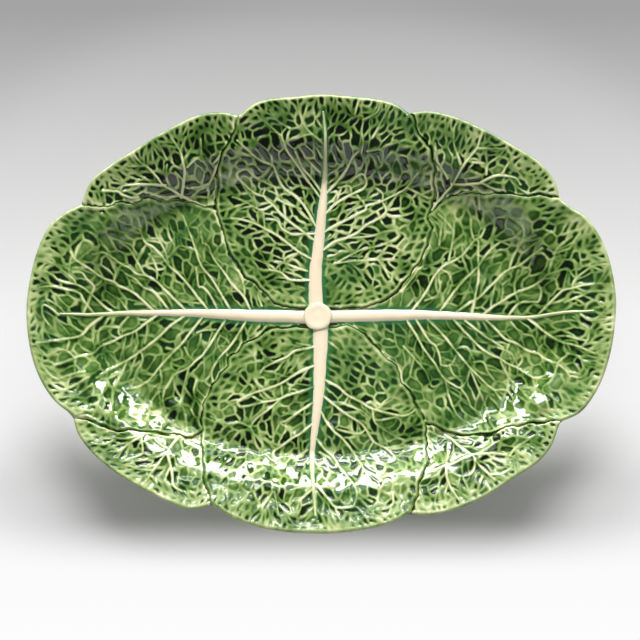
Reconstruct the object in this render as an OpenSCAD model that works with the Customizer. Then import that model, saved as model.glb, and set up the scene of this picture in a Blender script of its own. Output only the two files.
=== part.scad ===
// Oval serving platter moulded as overlapping savoy cabbage leaves.
// Origin: centre of the footprint, on the table. +X runs along the length, +Z is up.

/* [Platter] */
// Overall length, from the tip of the left leaf to the tip of the right leaf
platter_l = 430; // [320:5:520]
// Overall width, from the tip of the upper leaf to the tip of the lower leaf
platter_w = 323; // [240:1:400]
// Thickness of the body's wall
wall_t = 4; // [3:0.5:7]
// Thickness of the body's wall at its outer edge
edge_t = 2.2; // [1.5:0.1:3]
// Height from the well up to where the rim begins
slope_rise = 24; // [12:1:36]
// Width of the slope between the well and the rim
slope_w = 34; // [24:1:44]
// Height that the rim climbs from the slope to its edge
rim_rise = 8; // [3:1:14]
// Width of the rim
rim_w = 28; // [16:1:36]
// Depth by which the edge dips where two leaves meet
rim_dip = 2.5; // [0:0.5:5]

/* [Foot] */
// Height of the foot ring
foot_h = 5.5; // [4.5:0.5:10]
// Width of the foot ring's flat
foot_w = 6; // [4:0.5:10]
// Distance from the end of the slope in to the foot ring
foot_inset = 5; // [2:1:16]

/* [Leaves] */
// Thickness of the lowest leaves, in the four corners
leaf_t = 1.4; // [1:0.1:2.5]
// Extra thickness of each layer of leaves over the one below
layer_step = 0.9; // [0.4:0.1:1.5]
// Gap between a leaf and what it lies on or beside
joint = 0.15; // [0.1:0.05:0.3]
// Height of a side vein above its leaf
vein_h = 1; // [0.6:0.1:1.6]
// Width of a side vein where it leaves the midrib
vein_w = 2.6; // [1.6:0.1:4]
// Width of a side vein at its end
vein_tip_w = 1.2; // [0.8:0.1:2]
// Height of a branch between side veins above its leaf
branch_h = 0.7; // [0.4:0.1:1.2]
// Width of a branch where it leaves its side vein
branch_w = 2; // [1.2:0.1:3]

/* [Midribs and stem] */
// Height of a midrib above its leaf
rib_h = 2; // [1:0.25:3.5]
// Width of the left and right midribs beside the stem
side_rib_w = 8; // [5:0.5:11]
// Width of the upper and lower midribs beside the stem
cross_rib_w = 9.5; // [6:0.5:12]
// Width of a midrib at its tip
rib_tip_w = 1.6; // [1:0.1:3]
// Diameter of the cut stem in the centre
stem_d = 21; // [16:0.5:28]
// Height of the cut stem above the upper leaves
stem_h = 2.2; // [1:0.1:4]

/* [Hidden] */

half_l = platter_l / 2;
half_w = platter_w / 2;
well_z = foot_h + wall_t;
side_leaf_t = leaf_t + layer_step;
cross_leaf_t = side_leaf_t + layer_step;
leaf_green = [0.32, 0.52, 0.24];
body_green = [0.42, 0.58, 0.34];
rib_cream = [0.93, 0.88, 0.76];
bare_clay = [0.87, 0.82, 0.72];

// The outer edge, one list a leaf, counter-clockwise, as shares of half the length and half the width
right_edge_shares = [
    [0.812, -0.495], [0.874, -0.458], [0.93, -0.365], [0.978, -0.195], [1, 0.031],
    [0.975, 0.26], [0.93, 0.384], [0.865, 0.473]
];
upper_right_edge_shares = [
    [0.814, 0.523], [0.795, 0.607], [0.735, 0.697], [0.605, 0.802], [0.465, 0.892],
    [0.372, 0.923]
];
upper_edge_shares = [
    [0.302, 0.913], [0.242, 0.96], [0.13, 0.99], [0, 1], [-0.13, 0.99], [-0.229, 0.957]
];
upper_left_edge_shares = [
    [-0.284, 0.904], [-0.372, 0.92], [-0.465, 0.879], [-0.605, 0.777], [-0.74, 0.654],
    [-0.8, 0.57]
];
left_edge_shares = [
    [-0.819, 0.489], [-0.88, 0.446], [-0.935, 0.37], [-0.982, 0.2], [-1, -0.031],
    [-0.972, -0.24], [-0.912, -0.387]
];
lower_left_edge_shares = [
    [-0.837, -0.477], [-0.819, -0.557], [-0.76, -0.654], [-0.642, -0.77], [-0.512, -0.861],
    [-0.435, -0.894]
];
lower_edge_shares = [
    [-0.367, -0.873], [-0.307, -0.922], [-0.205, -0.972], [-0.07, -1], [0.093, -0.992],
    [0.228, -0.955]
];
lower_right_edge_shares = [
    [0.298, -0.913], [0.372, -0.918], [0.465, -0.885], [0.605, -0.79], [0.74, -0.67],
    [0.795, -0.575]
];
edge_lists = [
    right_edge_shares, upper_right_edge_shares, upper_edge_shares, upper_left_edge_shares,
    left_edge_shares, lower_left_edge_shares, lower_edge_shares, lower_right_edge_shares
];

// The leaves' inner margins, from the stem outwards, as the same shares
upper_margin_left_shares = [
    [-0.084, 0.043], [-0.13, 0.05], [-0.186, 0.099], [-0.233, 0.161], [-0.279, 0.229],
    [-0.33, 0.341], [-0.349, 0.427], [-0.367, 0.533], [-0.356, 0.619], [-0.353, 0.693],
    [-0.326, 0.768], [-0.293, 0.867], [-0.288, 0.897]
];
upper_margin_right_shares = [
    [0.056, 0.037], [0.14, 0.043], [0.195, 0.062], [0.247, 0.105], [0.326, 0.223],
    [0.367, 0.341], [0.381, 0.402], [0.372, 0.471], [0.391, 0.545], [0.391, 0.669],
    [0.377, 0.749], [0.344, 0.805], [0.321, 0.879], [0.306, 0.906]
];
lower_margin_left_shares = [
    [-0.07, -0.05], [-0.163, -0.056], [-0.256, -0.142], [-0.302, -0.204], [-0.349, -0.266],
    [-0.381, -0.328], [-0.405, -0.402], [-0.409, -0.545], [-0.391, -0.774], [-0.37, -0.866]
];
lower_margin_right_shares = [
    [0.056, -0.05], [0.102, -0.043], [0.153, -0.093], [0.209, -0.167], [0.279, -0.297],
    [0.326, -0.433], [0.353, -0.508], [0.358, -0.619], [0.34, -0.774], [0.302, -0.906]
];
left_margin_upper_shares = [
    [-0.33, 0.44], [-0.363, 0.489], [-0.391, 0.514], [-0.451, 0.529], [-0.535, 0.526],
    [-0.628, 0.52], [-0.698, 0.508], [-0.767, 0.483], [-0.812, 0.488]
];
left_margin_lower_shares = [
    [-0.38, -0.5], [-0.409, -0.533], [-0.456, -0.551], [-0.558, -0.539], [-0.707, -0.533],
    [-0.767, -0.495], [-0.83, -0.479]
];
right_margin_upper_shares = [
    [0.36, 0.44], [0.381, 0.471], [0.4, 0.508], [0.442, 0.551], [0.512, 0.563],
    [0.651, 0.551], [0.735, 0.539], [0.807, 0.525]
];
right_margin_lower_shares = [
    [0.32, -0.44], [0.353, -0.477], [0.395, -0.508], [0.465, -0.539], [0.605, -0.533],
    [0.674, -0.508], [0.805, -0.497]
];

// The midribs' places beyond the stem, and how their width falls from the stem to the tip
left_rib_shares = [[-0.233, 0.006], [-0.465, 0.019], [-0.72, 0.016], [-0.893, -0.006]];
right_rib_shares = [[0.233, 0.006], [0.465, 0.003], [0.6, -0.006], [0.93, 0.006]];
upper_rib_shares = [[-0.02, 0.186], [-0.014, 0.372], [0, 0.557], [0.012, 0.7], [0.005, 0.93]];
lower_rib_shares = [[0, -0.186], [0, -0.35], [-0.009, -0.5], [-0.028, -0.7], [-0.019, -0.93]];
side_rib_width_shares = [1, 1, 0.7, 0.3, 0];
cross_rib_width_shares = [1, 0.92, 0.7, 0.4, 0.2, 0];
stem_place_share = [-0.012, 0];

// Side veins: the share of the midrib's run where each one leaves, then where it ends
left_vein_shares = [
    [0.22, [-0.405, 0.341]], [0.3, [-0.479, 0.471]], [0.4, [-0.628, 0.433]],
    [0.5, [-0.8, 0.31]], [0.63, [-0.865, 0.29]], [0.8, [-0.949, 0.204]],
    [0.24, [-0.377, -0.297]], [0.32, [-0.558, -0.421]], [0.43, [-0.698, -0.359]],
    [0.51, [-0.791, -0.31]], [0.61, [-0.916, -0.248]], [0.84, [-0.963, -0.142]]
];
right_vein_shares = [
    [0.2, [0.358, 0.285]], [0.31, [0.567, 0.433]], [0.42, [0.698, 0.372]],
    [0.49, [0.86, 0.372]], [0.59, [0.921, 0.223]], [0.81, [0.963, 0.124]],
    [0.29, [0.549, -0.458]], [0.38, [0.637, -0.409]], [0.48, [0.791, -0.31]],
    [0.6, [0.865, -0.297]], [0.76, [0.944, -0.223]]
];
upper_vein_shares = [
    [0.25, [-0.326, 0.458]], [0.35, [-0.298, 0.644]], [0.44, [-0.288, 0.786]],
    [0.58, [-0.195, 0.879]], [0.7, [-0.093, 0.867]],
    [0.23, [0.288, 0.39]], [0.3, [0.316, 0.483]], [0.4, [0.344, 0.644]],
    [0.5, [0.279, 0.774]], [0.6, [0.177, 0.898]]
];
lower_vein_shares = [
    [0.19, [-0.307, -0.409]], [0.3, [-0.372, -0.526]], [0.38, [-0.335, -0.681]],
    [0.51, [-0.279, -0.805]], [0.63, [-0.14, -0.867]],
    [0.27, [0.307, -0.446]], [0.36, [0.316, -0.588]], [0.44, [0.279, -0.743]],
    [0.59, [0.223, -0.867]], [0.64, [0.14, -0.916]]
];

// Branches between the side veins: where each one leaves its vein, and where it ends
left_branch_shares = [
    [[-0.609, 0.192], [-0.693, 0.341]], [[-0.526, 0.235], [-0.577, 0.409]],
    [[-0.507, 0.322], [-0.535, 0.433]], [[-0.567, 0.173], [-0.595, 0.291]],
    [[-0.781, 0.13], [-0.847, 0.186]], [[-0.716, 0.161], [-0.688, 0.241]],
    [[-0.837, 0.13], [-0.958, 0.241]], [[-0.795, 0.031], [-0.958, 0.111]],
    [[-0.363, 0.046], [-0.423, 0.142]], [[-0.423, 0.142], [-0.433, 0.229]],
    [[-0.433, 0.31], [-0.493, 0.328]], [[-0.493, 0.328], [-0.53, 0.266]],
    [[-0.53, 0.037], [-0.674, 0.198]], [[-0.267, 0.093], [-0.274, 0.198]],
    [[-0.54, -0.341], [-0.535, -0.433]], [[-0.553, -0.248], [-0.549, -0.347]],
    [[-0.67, -0.204], [-0.707, -0.402]], [[-0.619, -0.167], [-0.651, -0.328]],
    [[-0.674, -0.099], [-0.693, -0.211]], [[-0.637, -0.068], [-0.647, -0.161]],
    [[-0.698, -0.05], [-0.758, -0.142]], [[-0.456, -0.235], [-0.484, -0.415]],
    [[-0.47, -0.142], [-0.437, -0.204]], [[-0.428, -0.074], [-0.363, -0.062]],
    [[-0.349, -0.087], [-0.344, -0.161]], [[-0.837, -0.204], [-0.93, -0.204]],
    [[-0.805, -0.266], [-0.898, -0.31]], [[-0.791, -0.291], [-0.884, -0.359]],
    [[-0.428, -0.291], [-0.433, -0.39]], [[-0.6, -0.031], [-0.609, -0.124]]
];
right_branch_shares = [
    [[0.856, 0.111], [0.977, 0.217]], [[0.8, 0.272], [0.884, 0.359]],
    [[0.781, 0.186], [0.8, 0.272]], [[0.651, 0.223], [0.693, 0.421]],
    [[0.781, 0.186], [0.865, 0.161]], [[0.53, 0.08], [0.544, 0.353]],
    [[0.544, 0.353], [0.521, 0.452]], [[0.488, 0.279], [0.512, 0.198]],
    [[0.442, 0.26], [0.46, 0.446]], [[0.419, 0.217], [0.456, 0.142]],
    [[0.358, 0.074], [0.414, 0.161]], [[0.586, 0.043], [0.605, 0.167]],
    [[0.67, 0.105], [0.684, 0.217]], [[0.651, 0.025], [0.749, 0.068]],
    [[0.749, 0.068], [0.749, 0.142]], [[0.833, 0.05], [0.953, 0.093]],
    [[0.479, -0.328], [0.549, -0.446]], [[0.516, -0.254], [0.577, -0.464]],
    [[0.428, -0.291], [0.512, -0.495]], [[0.595, -0.341], [0.66, -0.384]],
    [[0.619, -0.204], [0.698, -0.353]], [[0.284, -0.136], [0.381, -0.322]],
    [[0.344, -0.05], [0.409, -0.186]], [[0.526, -0.05], [0.628, -0.149]],
    [[0.526, -0.211], [0.595, -0.291]], [[0.674, -0.235], [0.679, -0.161]],
    [[0.698, -0.08], [0.744, -0.136]], [[0.837, -0.105], [0.907, -0.124]],
    [[0.805, -0.229], [0.847, -0.303]], [[0.805, -0.235], [0.767, -0.402]],
    [[0.772, -0.093], [0.809, -0.211]], [[0.837, -0.186], [0.935, -0.241]]
];

// The corner leaves' own ribs, and the veins that branch from them
upper_left_rib_shares = [[-0.409, 0.52], [-0.521, 0.582], [-0.642, 0.724]];
upper_left_vein_shares = [[0.5, [-0.735, 0.576]], [0.35, [-0.493, 0.817]], [0.75, [-0.57, 0.74]]];
upper_right_rib_shares = [[0.391, 0.502], [0.465, 0.625], [0.553, 0.811]];
upper_right_vein_shares = [[0.3, [0.674, 0.576]], [0.55, [0.456, 0.83]], [0.7, [0.642, 0.712]]];
lower_left_rib_shares = [[-0.419, -0.508], [-0.512, -0.607], [-0.586, -0.768]];
lower_left_vein_shares = [[0.5, [-0.474, -0.811]], [0.3, [-0.735, -0.607]], [0.6, [-0.679, -0.693]]];
lower_right_rib_shares = [[0.428, -0.551], [0.512, -0.644], [0.586, -0.762]];
lower_right_vein_shares = [[0.45, [0.707, -0.625]], [0.5, [0.442, -0.83]], [0.75, [0.651, -0.7]]];

// How finely the curves are followed
edge_steps = 2;
oval_power = 2.2;
foot_sides = 96;
slope_rings = 5;
vein_steps = 24;
vein_bends = 3;
vein_bow_share = 0.08;
vein_sink_share = 0.8;
branch_bends = 1;
rib_steps = 40;
well_steps = 12;
rim_steps = 4;
bead_sides = 4;
beyond_share = 1.4;
corner_share = 0.2;

// A place given in shares, in millimetres
function place(share) = [share.x * half_l, share.y * half_w];
// A point on the smooth curve through a, b, c and d, between b and c
function smooth_point(a, b, c, d, t) =
    0.5 * (2 * b + (c - a) * t + (2 * a - 5 * b + 4 * c - d) * t * t + (3 * b - a - 3 * c + d) * t * t * t);
// A point on an open line of places, at a share of its run
function along(line, share) =
    let (last = len(line) - 1, at = min(share, 1) * last, i = min(floor(at), last - 1), t = at - i)
    smooth_point(line[max(i - 1, 0)], line[i], line[i + 1], line[min(i + 2, last)], t);

edge_line = [for (list = edge_lists) for (share = list) place(share)];
// The outer edge, smoothed, with how deep the dip between two leaves is at each point
edge_points = [
    for (i = [0:len(edge_line) - 1]) for (k = [0:edge_steps - 1])
        let (n = len(edge_line), before = edge_line[(i + n - 1) % n], after = edge_line[(i + 2) % n])
        smooth_point(before, edge_line[i], edge_line[(i + 1) % n], after, k / edge_steps)
];
dips = [
    for (list = edge_lists) for (k = [0:len(list) * edge_steps - 1])
        pow(abs(2 * k / (len(list) * edge_steps) - 1), 3)
];
spokes = len(edge_points);
spoke_r = [for (p = edge_points) norm(p)];
spoke_a = [for (p = edge_points) atan2(p.y, p.x)];
turns = [-360, 0, 360];
edge_table = [for (turn = turns) for (k = [0:spokes - 1]) [spoke_a[k] + turn, spoke_r[k]]];
dip_table = [for (turn = turns) for (k = [0:spokes - 1]) [spoke_a[k] + turn, dips[k]]];

// Distance from the centre to the smooth oval that lies a given distance inside the platter's box
function oval_r(a, inset) =
    pow(
        pow(abs(cos(a)) / (half_l - inset), oval_power) + pow(abs(sin(a)) / (half_w - inset), oval_power),
        -1 / oval_power
    );
function ease(t) = t * t * (3 - 2 * t);
// The slope's rise, in straight steps from ring to ring
slope_table = [for (k = [0:slope_rings]) [k / slope_rings, ease(k / slope_rings)]];
// Height of the body's upper face at a direction and a distance from the centre
function face_z(a, r, edge_r, dip) =
    let (
        rim_r = oval_r(a, rim_w),
        well_r = oval_r(a, rim_w + slope_w),
        rise = slope_rise * lookup((r - well_r) / (rim_r - well_r), slope_table),
        t = max((r - rim_r) / (edge_r - rim_r), 0)
    )
    well_z + rise + t * (rim_rise - rim_dip * dip * t);
function face_at(p) =
    let (a = atan2(p.y, p.x)) face_z(a, norm(p), lookup(a, edge_table), lookup(a, dip_table));
function slope_at(a, r, edge_r) =
    atan((face_z(a, r + wall_t / 2, edge_r, 0) - face_z(a, r - wall_t / 2, edge_r, 0)) / wall_t);

// The rings of points that the body and the sheets share, from the edge in to the well:
// 0 is the edge, 1 where the slope begins and 2 the well
levels = concat([0, 0.5], [for (k = [0:slope_rings]) 1 + k / slope_rings]);
function level_r(k, level) =
    let (rim_r = oval_r(spoke_a[k], rim_w), well_r = oval_r(spoke_a[k], rim_w + slope_w))
    level < 1 ? spoke_r[k] + (rim_r - spoke_r[k]) * level : rim_r + (well_r - rim_r) * (level - 1);
function wall_at(level) = edge_t + (wall_t - edge_t) * min(2 * level, 1);
function ring(level, lift) = [
    for (k = [0:spokes - 1])
        let (a = spoke_a[k], r = level_r(k, level))
        [r * cos(a), r * sin(a), face_z(a, r, spoke_r[k], dips[k]) + lift]
];
// The same ring moved through the wall to the body's under face
function under_ring(level) = [
    for (k = [0:spokes - 1])
        let (
            a = spoke_a[k],
            r = level_r(k, level),
            slope = level < 2 ? slope_at(a, r, spoke_r[k]) : 0,
            t = wall_at(level),
            under_r = min(r + t * sin(slope), spoke_r[k])
        )
        [under_r * cos(a), under_r * sin(a), max(face_z(a, r, spoke_r[k], dips[k]) - t * cos(slope), foot_h)]
];
// A closed solid through rings that run from the upper face, over the edge, to the lower face
module turned_solid(rings) {
    last = len(rings) - 1;
    polyhedron(
        points = [for (r = rings) each r],
        faces = concat(
            [[for (k = [spokes - 1:-1:0]) k]],
            [
                for (i = [0:last - 1]) for (k = [0:spokes - 1])
                    let (a = i * spokes + k, b = i * spokes + (k + 1) % spokes)
                    each [[a, b, a + spokes], [b, b + spokes, a + spokes]]
            ],
            [[for (k = [0:spokes - 1]) last * spokes + k]]
        ),
        convexity = 8
    );
}
// A sheet that lies on the body's upper face, from one height above it to another
module sheet(from, to) {
    inward = [for (i = [len(levels) - 1:-1:0]) levels[i]];
    turned_solid(concat([for (level = inward) ring(level, to)], [for (level = levels) ring(level, from)]));
}

// Footprints of the leaves, seen from above
module field(first_margin, second_margin, tip) {
    first_last = len(first_margin) - 1;
    second_last = len(second_margin) - 1;
    beyond = [first_margin[first_last], tip, second_margin[second_last]] * beyond_share;
    shares = concat(first_margin, beyond, [for (i = [second_last:-1:0]) second_margin[i]]);
    polygon([for (share = shares) place(share)]);
}
module upper_field() {
    field(upper_margin_left_shares, upper_margin_right_shares, [0, 1]);
}
module lower_field() {
    field(lower_margin_left_shares, lower_margin_right_shares, [0, -1]);
}
module left_field() {
    field(concat([[0, 0]], left_margin_upper_shares), left_margin_lower_shares, [-1, 0]);
}
module right_field() {
    field(concat([[0, 0]], right_margin_upper_shares), right_margin_lower_shares, [1, 0]);
}
module corner_field(corner) {
    far = place(corner) * beyond_share;
    near = place(corner) * corner_share;
    polygon([near, [far.x, near.y], far, [near.x, far.y]]);
}
module stem_field() {
    translate(place(stem_place_share)) circle(d = stem_d, $fn = 48);
}
// A midrib's line of places, from beside the stem to the tip
function rib_line(shares) =
    let (stem_at = place(stem_place_share), out = place(shares[0]) - stem_at)
    concat([stem_at + out / norm(out) * (stem_d / 2 + joint)], [for (share = shares) place(share)]);
// How far from the centre its stations lie, with one on each ring of the slope to follow the body
function station_radii(line) =
    let (
        tip = line[len(line) - 1],
        a = atan2(tip.y, tip.x),
        start_r = norm(line[0]),
        well_r = oval_r(a, rim_w + slope_w),
        rim_r = oval_r(a, rim_w),
        radii = concat(
            [for (k = [0:well_steps - 1]) start_r + (well_r - start_r) * k / well_steps],
            [for (k = [0:slope_rings]) well_r + (rim_r - well_r) * k / slope_rings],
            [for (k = [1:rim_steps]) rim_r + rim_w * k / rim_steps]
        )
    )
    concat([for (r = radii) if (r < norm(tip) - rib_tip_w) r], [norm(tip)]);
// The stations: the place, the direction across and half the width at each
function stations(line, width, width_shares) =
    let (run_table = [for (k = [0:rib_steps]) [norm(along(line, k / rib_steps)), k / rib_steps]])
    [
        for (r = station_radii(line))
            let (
                share = lookup(r, run_table),
                behind = along(line, max(share - 1 / rib_steps, 0)),
                ahead = along(line, min(share + 1 / rib_steps, 1)),
                way = (ahead - behind) / norm(ahead - behind),
                station_w = rib_tip_w + (width - rib_tip_w) * along(width_shares, share)
            )
            [along(line, share), [-way.y, way.x], station_w / 2]
    ];
module rib_field(line, width, width_shares) {
    rows = stations(line, width, width_shares);
    offset(delta = joint) polygon(concat(
        [place(stem_place_share)],
        [for (row = rows) row[0] + row[1] * row[2]],
        [for (k = [len(rows) - 1:-1:0]) rows[k][0] - rows[k][1] * rows[k][2]]
    ));
}

// How far up the slope a place is: 0 at the well, 1 where the rim begins
function slope_share(p) =
    let (a = atan2(p.y, p.x), rim_r = oval_r(a, rim_w), well_r = oval_r(a, rim_w + slope_w))
    (norm(p) - well_r) / (rim_r - well_r);
// The bends of a vein: some in the well, and one on each ring of the slope that it crosses
function bends(line, well_bends) =
    let (
        run_table = [for (k = [0:vein_steps]) let (t = k / vein_steps) [slope_share(along(line, t)), t]],
        lowest = run_table[0][0],
        highest = run_table[vein_steps][0],
        climb = [for (k = [0:slope_rings]) let (u = k / slope_rings) if (lowest < u && u < highest) u],
        on_rings = concat([for (u = climb) lookup(u, run_table)], [1]),
        in_well = [for (k = [0:well_bends - 1]) on_rings[0] * k / well_bends]
    )
    [for (share = concat(in_well, on_rings)) along(line, share)];
// A ridge that follows a line of places on a leaf, wide at its start and narrow at its end
module ridge(line, start_w, end_w, ridge_h, top) {
    last = len(line) - 1;
    sink = ridge_h * vein_sink_share;
    for (i = [0:last - 1])
        hull() for (j = [i, i + 1])
            translate([line[j].x, line[j].y, face_at(line[j]) + top - sink])
                cylinder(d1 = start_w + (end_w - start_w) * j / last + sink, d2 = end_w / 2,
                    h = sink + ridge_h, $fn = bead_sides);
}
// A side vein from a share of the rib's line to its end, bowed towards the rib's tip
function vein_line(rib, share, end) =
    let (a = along(rib, share), c = place(end), middle = (a + c) / 2, tip = rib[len(rib) - 1])
    [a, middle + (tip - middle) * vein_bow_share, c];
module side_veins(rib, veins, top) {
    for (vein = veins)
        ridge(bends(vein_line(rib, vein[0], vein[1]), vein_bends), vein_w, vein_tip_w, vein_h, top);
}
module branches(ends, top) {
    for (pair = ends)
        ridge(bends([place(pair[0]), place(pair[1])], branch_bends), branch_w, vein_tip_w, branch_h, top);
}
// A leaf: a sheet, its side veins and their branches, cut to the footprint that is its child
module leaf(top, rib, veins, branch_ends) {
    color(leaf_green) intersection() {
        sheet(joint, top + 2 * vein_h);
        linear_extrude(platter_l) children(0);
        union() {
            sheet(joint / 2, top);
            side_veins(rib, veins, top);
            branches(branch_ends, top);
        }
    }
}

module upper_leaf() {
    leaf(cross_leaf_t, rib_line(upper_rib_shares), upper_vein_shares, []) difference() {
        upper_field();
        rib_field(rib_line(upper_rib_shares), cross_rib_w, cross_rib_width_shares);
        offset(delta = joint) stem_field();
    }
}
module lower_leaf() {
    leaf(cross_leaf_t, rib_line(lower_rib_shares), lower_vein_shares, []) difference() {
        lower_field();
        rib_field(rib_line(lower_rib_shares), cross_rib_w, cross_rib_width_shares);
        offset(delta = joint) stem_field();
    }
}
module left_leaf() {
    leaf(side_leaf_t, rib_line(left_rib_shares), left_vein_shares, left_branch_shares) difference() {
        left_field();
        offset(delta = joint) upper_field();
        offset(delta = joint) lower_field();
        rib_field(rib_line(left_rib_shares), side_rib_w, side_rib_width_shares);
        offset(delta = joint) stem_field();
    }
}
module right_leaf() {
    leaf(side_leaf_t, rib_line(right_rib_shares), right_vein_shares, right_branch_shares) difference() {
        right_field();
        offset(delta = joint) upper_field();
        offset(delta = joint) lower_field();
        rib_field(rib_line(right_rib_shares), side_rib_w, side_rib_width_shares);
        offset(delta = joint) stem_field();
    }
}
// A corner leaf, with its own rib and branches, under the leaves beside it
module corner_leaf(corner, rib_shares, veins) {
    rib = [for (share = rib_shares) place(share)];
    color(leaf_green) intersection() {
        sheet(joint, leaf_t + 2 * vein_h);
        linear_extrude(platter_l) difference() {
            corner_field(corner);
            offset(delta = joint) union() {
                upper_field();
                lower_field();
                left_field();
                right_field();
            }
        }
        union() {
            sheet(joint / 2, leaf_t);
            ridge(bends(rib, vein_bends), vein_w, vein_tip_w, vein_h, leaf_t);
            side_veins(rib, veins, leaf_t);
        }
    }
}
module upper_left_leaf() {
    corner_leaf([-1, 1], upper_left_rib_shares, upper_left_vein_shares);
}
module upper_right_leaf() {
    corner_leaf([1, 1], upper_right_rib_shares, upper_right_vein_shares);
}
module lower_left_leaf() {
    corner_leaf([-1, -1], lower_left_rib_shares, lower_left_vein_shares);
}
module lower_right_leaf() {
    corner_leaf([1, -1], lower_right_rib_shares, lower_right_vein_shares);
}

// A midrib: a rounded bar that narrows to its tip, lying on the body in its slot in the leaf
module midrib(line, width, width_shares, top) {
    rows = stations(line, width, width_shares);
    section_shares = [[1, 0], [1, 0.6], [0.6, 0.93], [0, 1], [-0.6, 0.93], [-1, 0.6], [-1, 0]];
    around = len(section_shares);
    points = [
        for (row = rows) for (corner = section_shares)
            let (p = row[0] + row[1] * row[2] * corner.x)
            [p.x, p.y, face_at(p) + joint + (top + rib_h - joint) * corner.y]
    ];
    color(rib_cream) polyhedron(
        points = points,
        faces = concat(
            [[for (k = [0:around - 1]) k]],
            [
                for (i = [0:len(rows) - 2]) for (k = [0:around - 1])
                    let (a = i * around + k, b = i * around + (k + 1) % around)
                    each [[a, a + around, b], [b, a + around, b + around]]
            ],
            [[for (k = [around - 1:-1:0]) (len(rows) - 1) * around + k]]
        ),
        convexity = 6
    );
}
module upper_midrib() {
    midrib(rib_line(upper_rib_shares), cross_rib_w, cross_rib_width_shares, cross_leaf_t);
}
module lower_midrib() {
    midrib(rib_line(lower_rib_shares), cross_rib_w, cross_rib_width_shares, cross_leaf_t);
}
module left_midrib() {
    midrib(rib_line(left_rib_shares), side_rib_w, side_rib_width_shares, side_leaf_t);
}
module right_midrib() {
    midrib(rib_line(right_rib_shares), side_rib_w, side_rib_width_shares, side_leaf_t);
}

// The cut stem: a low disc with a rounded shoulder
module stem_button() {
    stem_top = cross_leaf_t + stem_h;
    shoulder = stem_h / 2;
    stem_at = place(stem_place_share);
    color(rib_cream) translate([stem_at.x, stem_at.y, well_z + joint])
        rotate_extrude($fn = 96) {
            square([stem_d / 2 - shoulder, stem_top - joint]);
            square([stem_d / 2, stem_top - joint - shoulder]);
            translate([stem_d / 2 - shoulder, stem_top - joint - shoulder]) circle(r = shoulder, $fn = 48);
        }
}

// The dished body: the upper face that the leaves lie on, the outer edge, and the under face
module platter_body() {
    inward = [for (i = [len(levels) - 1:-1:0]) levels[i]];
    color(body_green) turned_solid(concat(
        [for (level = inward) ring(level, 0)],
        [ring(0, -edge_t)],
        [for (level = levels) if (level > 0) under_ring(level)]
    ));
}

// The foot: an oval ring with a flat bottom, under the body's flat underside
function oval(inset) = [
    for (k = [0:foot_sides - 1]) let (a = 360 * k / foot_sides) [cos(a), sin(a)] * oval_r(a, inset)
];
module foot_ring() {
    foot_out = rim_w + slope_w + foot_inset;
    color(bare_clay) linear_extrude(foot_h) difference() {
        polygon(oval(foot_out));
        polygon(oval(foot_out + foot_w));
    }
}

platter_body();
foot_ring();
upper_left_leaf();
upper_right_leaf();
lower_left_leaf();
lower_right_leaf();
left_leaf();
right_leaf();
upper_leaf();
lower_leaf();
left_midrib();
right_midrib();
upper_midrib();
lower_midrib();
stem_button();
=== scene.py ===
import math
from collections import namedtuple

import bpy
import numpy as np
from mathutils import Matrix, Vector


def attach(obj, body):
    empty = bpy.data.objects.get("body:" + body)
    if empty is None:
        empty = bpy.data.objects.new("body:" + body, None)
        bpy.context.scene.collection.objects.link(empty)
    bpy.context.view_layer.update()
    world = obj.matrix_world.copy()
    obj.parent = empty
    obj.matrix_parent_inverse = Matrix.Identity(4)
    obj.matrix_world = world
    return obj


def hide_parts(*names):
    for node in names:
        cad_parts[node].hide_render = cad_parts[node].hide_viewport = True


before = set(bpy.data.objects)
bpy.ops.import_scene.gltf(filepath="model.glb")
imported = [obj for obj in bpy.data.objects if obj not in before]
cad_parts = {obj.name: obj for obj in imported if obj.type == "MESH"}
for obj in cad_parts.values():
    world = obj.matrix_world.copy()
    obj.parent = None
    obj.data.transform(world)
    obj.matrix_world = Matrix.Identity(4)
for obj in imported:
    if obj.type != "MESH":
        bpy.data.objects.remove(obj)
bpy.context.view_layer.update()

MM = 0.001

# The platter's sizes, in mm
HALF_L = 215.0
HALF_W = 161.5
WELL_Z = 9.5
SLOPE_RISE = 24.0
SLOPE_W = 34.0
RIM_W = 28.0
RIM_RISE = 8.0
RIM_DIP = 2.5
RIM_BLEND = 0.12
OVAL_POWER = 2.2
FOOT_H = 5.5
FOOT_W = 6.0
FOOT_OUT = RIM_W + SLOPE_W + 5.0
WALL = 4.0
EDGE_WALL = 2.2
CORNER_T = 1.4
SIDE_T = 2.3
CROSS_T = 3.2


def places(text):
    """The places that a text gives, each with its numbers in mm."""
    return np.array([place.split(",") for place in text.split()], float)


def read_veins(text):
    """The veins that a text gives, one a row."""
    return [places(row) for row in text.strip().split("\n")]


# Each leaf's stretch of the outer edge, counter-clockwise from the right leaf
EDGE = {
    "right": places("""175,-80 188,-74 198,-62 206,-46 212,-25 215,-2 215,15 211,38 204,56 194,70
        183,77 175,84"""),
    "upper_right": places("""175,85 174,90 171,98 160,111 140,124 120,135 100,144 80,149
        65,147.5"""),
    "upper": places("""64,148 55,154 40,158 20,160 0,161.5 -20,159.5 -38,158 -50,154 -60,146"""),
    "upper_left": places("""-62,146 -70,148 -80,148 -90,146 -100,142 -120,131 -137,120 -153,110
        -166,100 -171,93 -174,86 -175,80"""),
    "left": places("""-177,79 -190,72 -200,62 -207,47 -212,28 -215,5 -214,-15 -210,-35 -203,-52
        -193,-66 -180,-76"""),
    "lower_left": places("""-180,-78 -176,-90 -165,-104 -148,-118 -128,-130 -110,-139 -95,-144
        -80,-141"""),
    "lower": places("""-78,-141 -68,-148 -55,-154 -35,-159 -10,-161.5 15,-161 40,-157 55,-152
        63,-147"""),
    "lower_right": places("""65,-147 80,-148 100,-143 120,-134 140,-121 157,-110 167,-98 172,-85
        174,-80"""),
}

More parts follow.
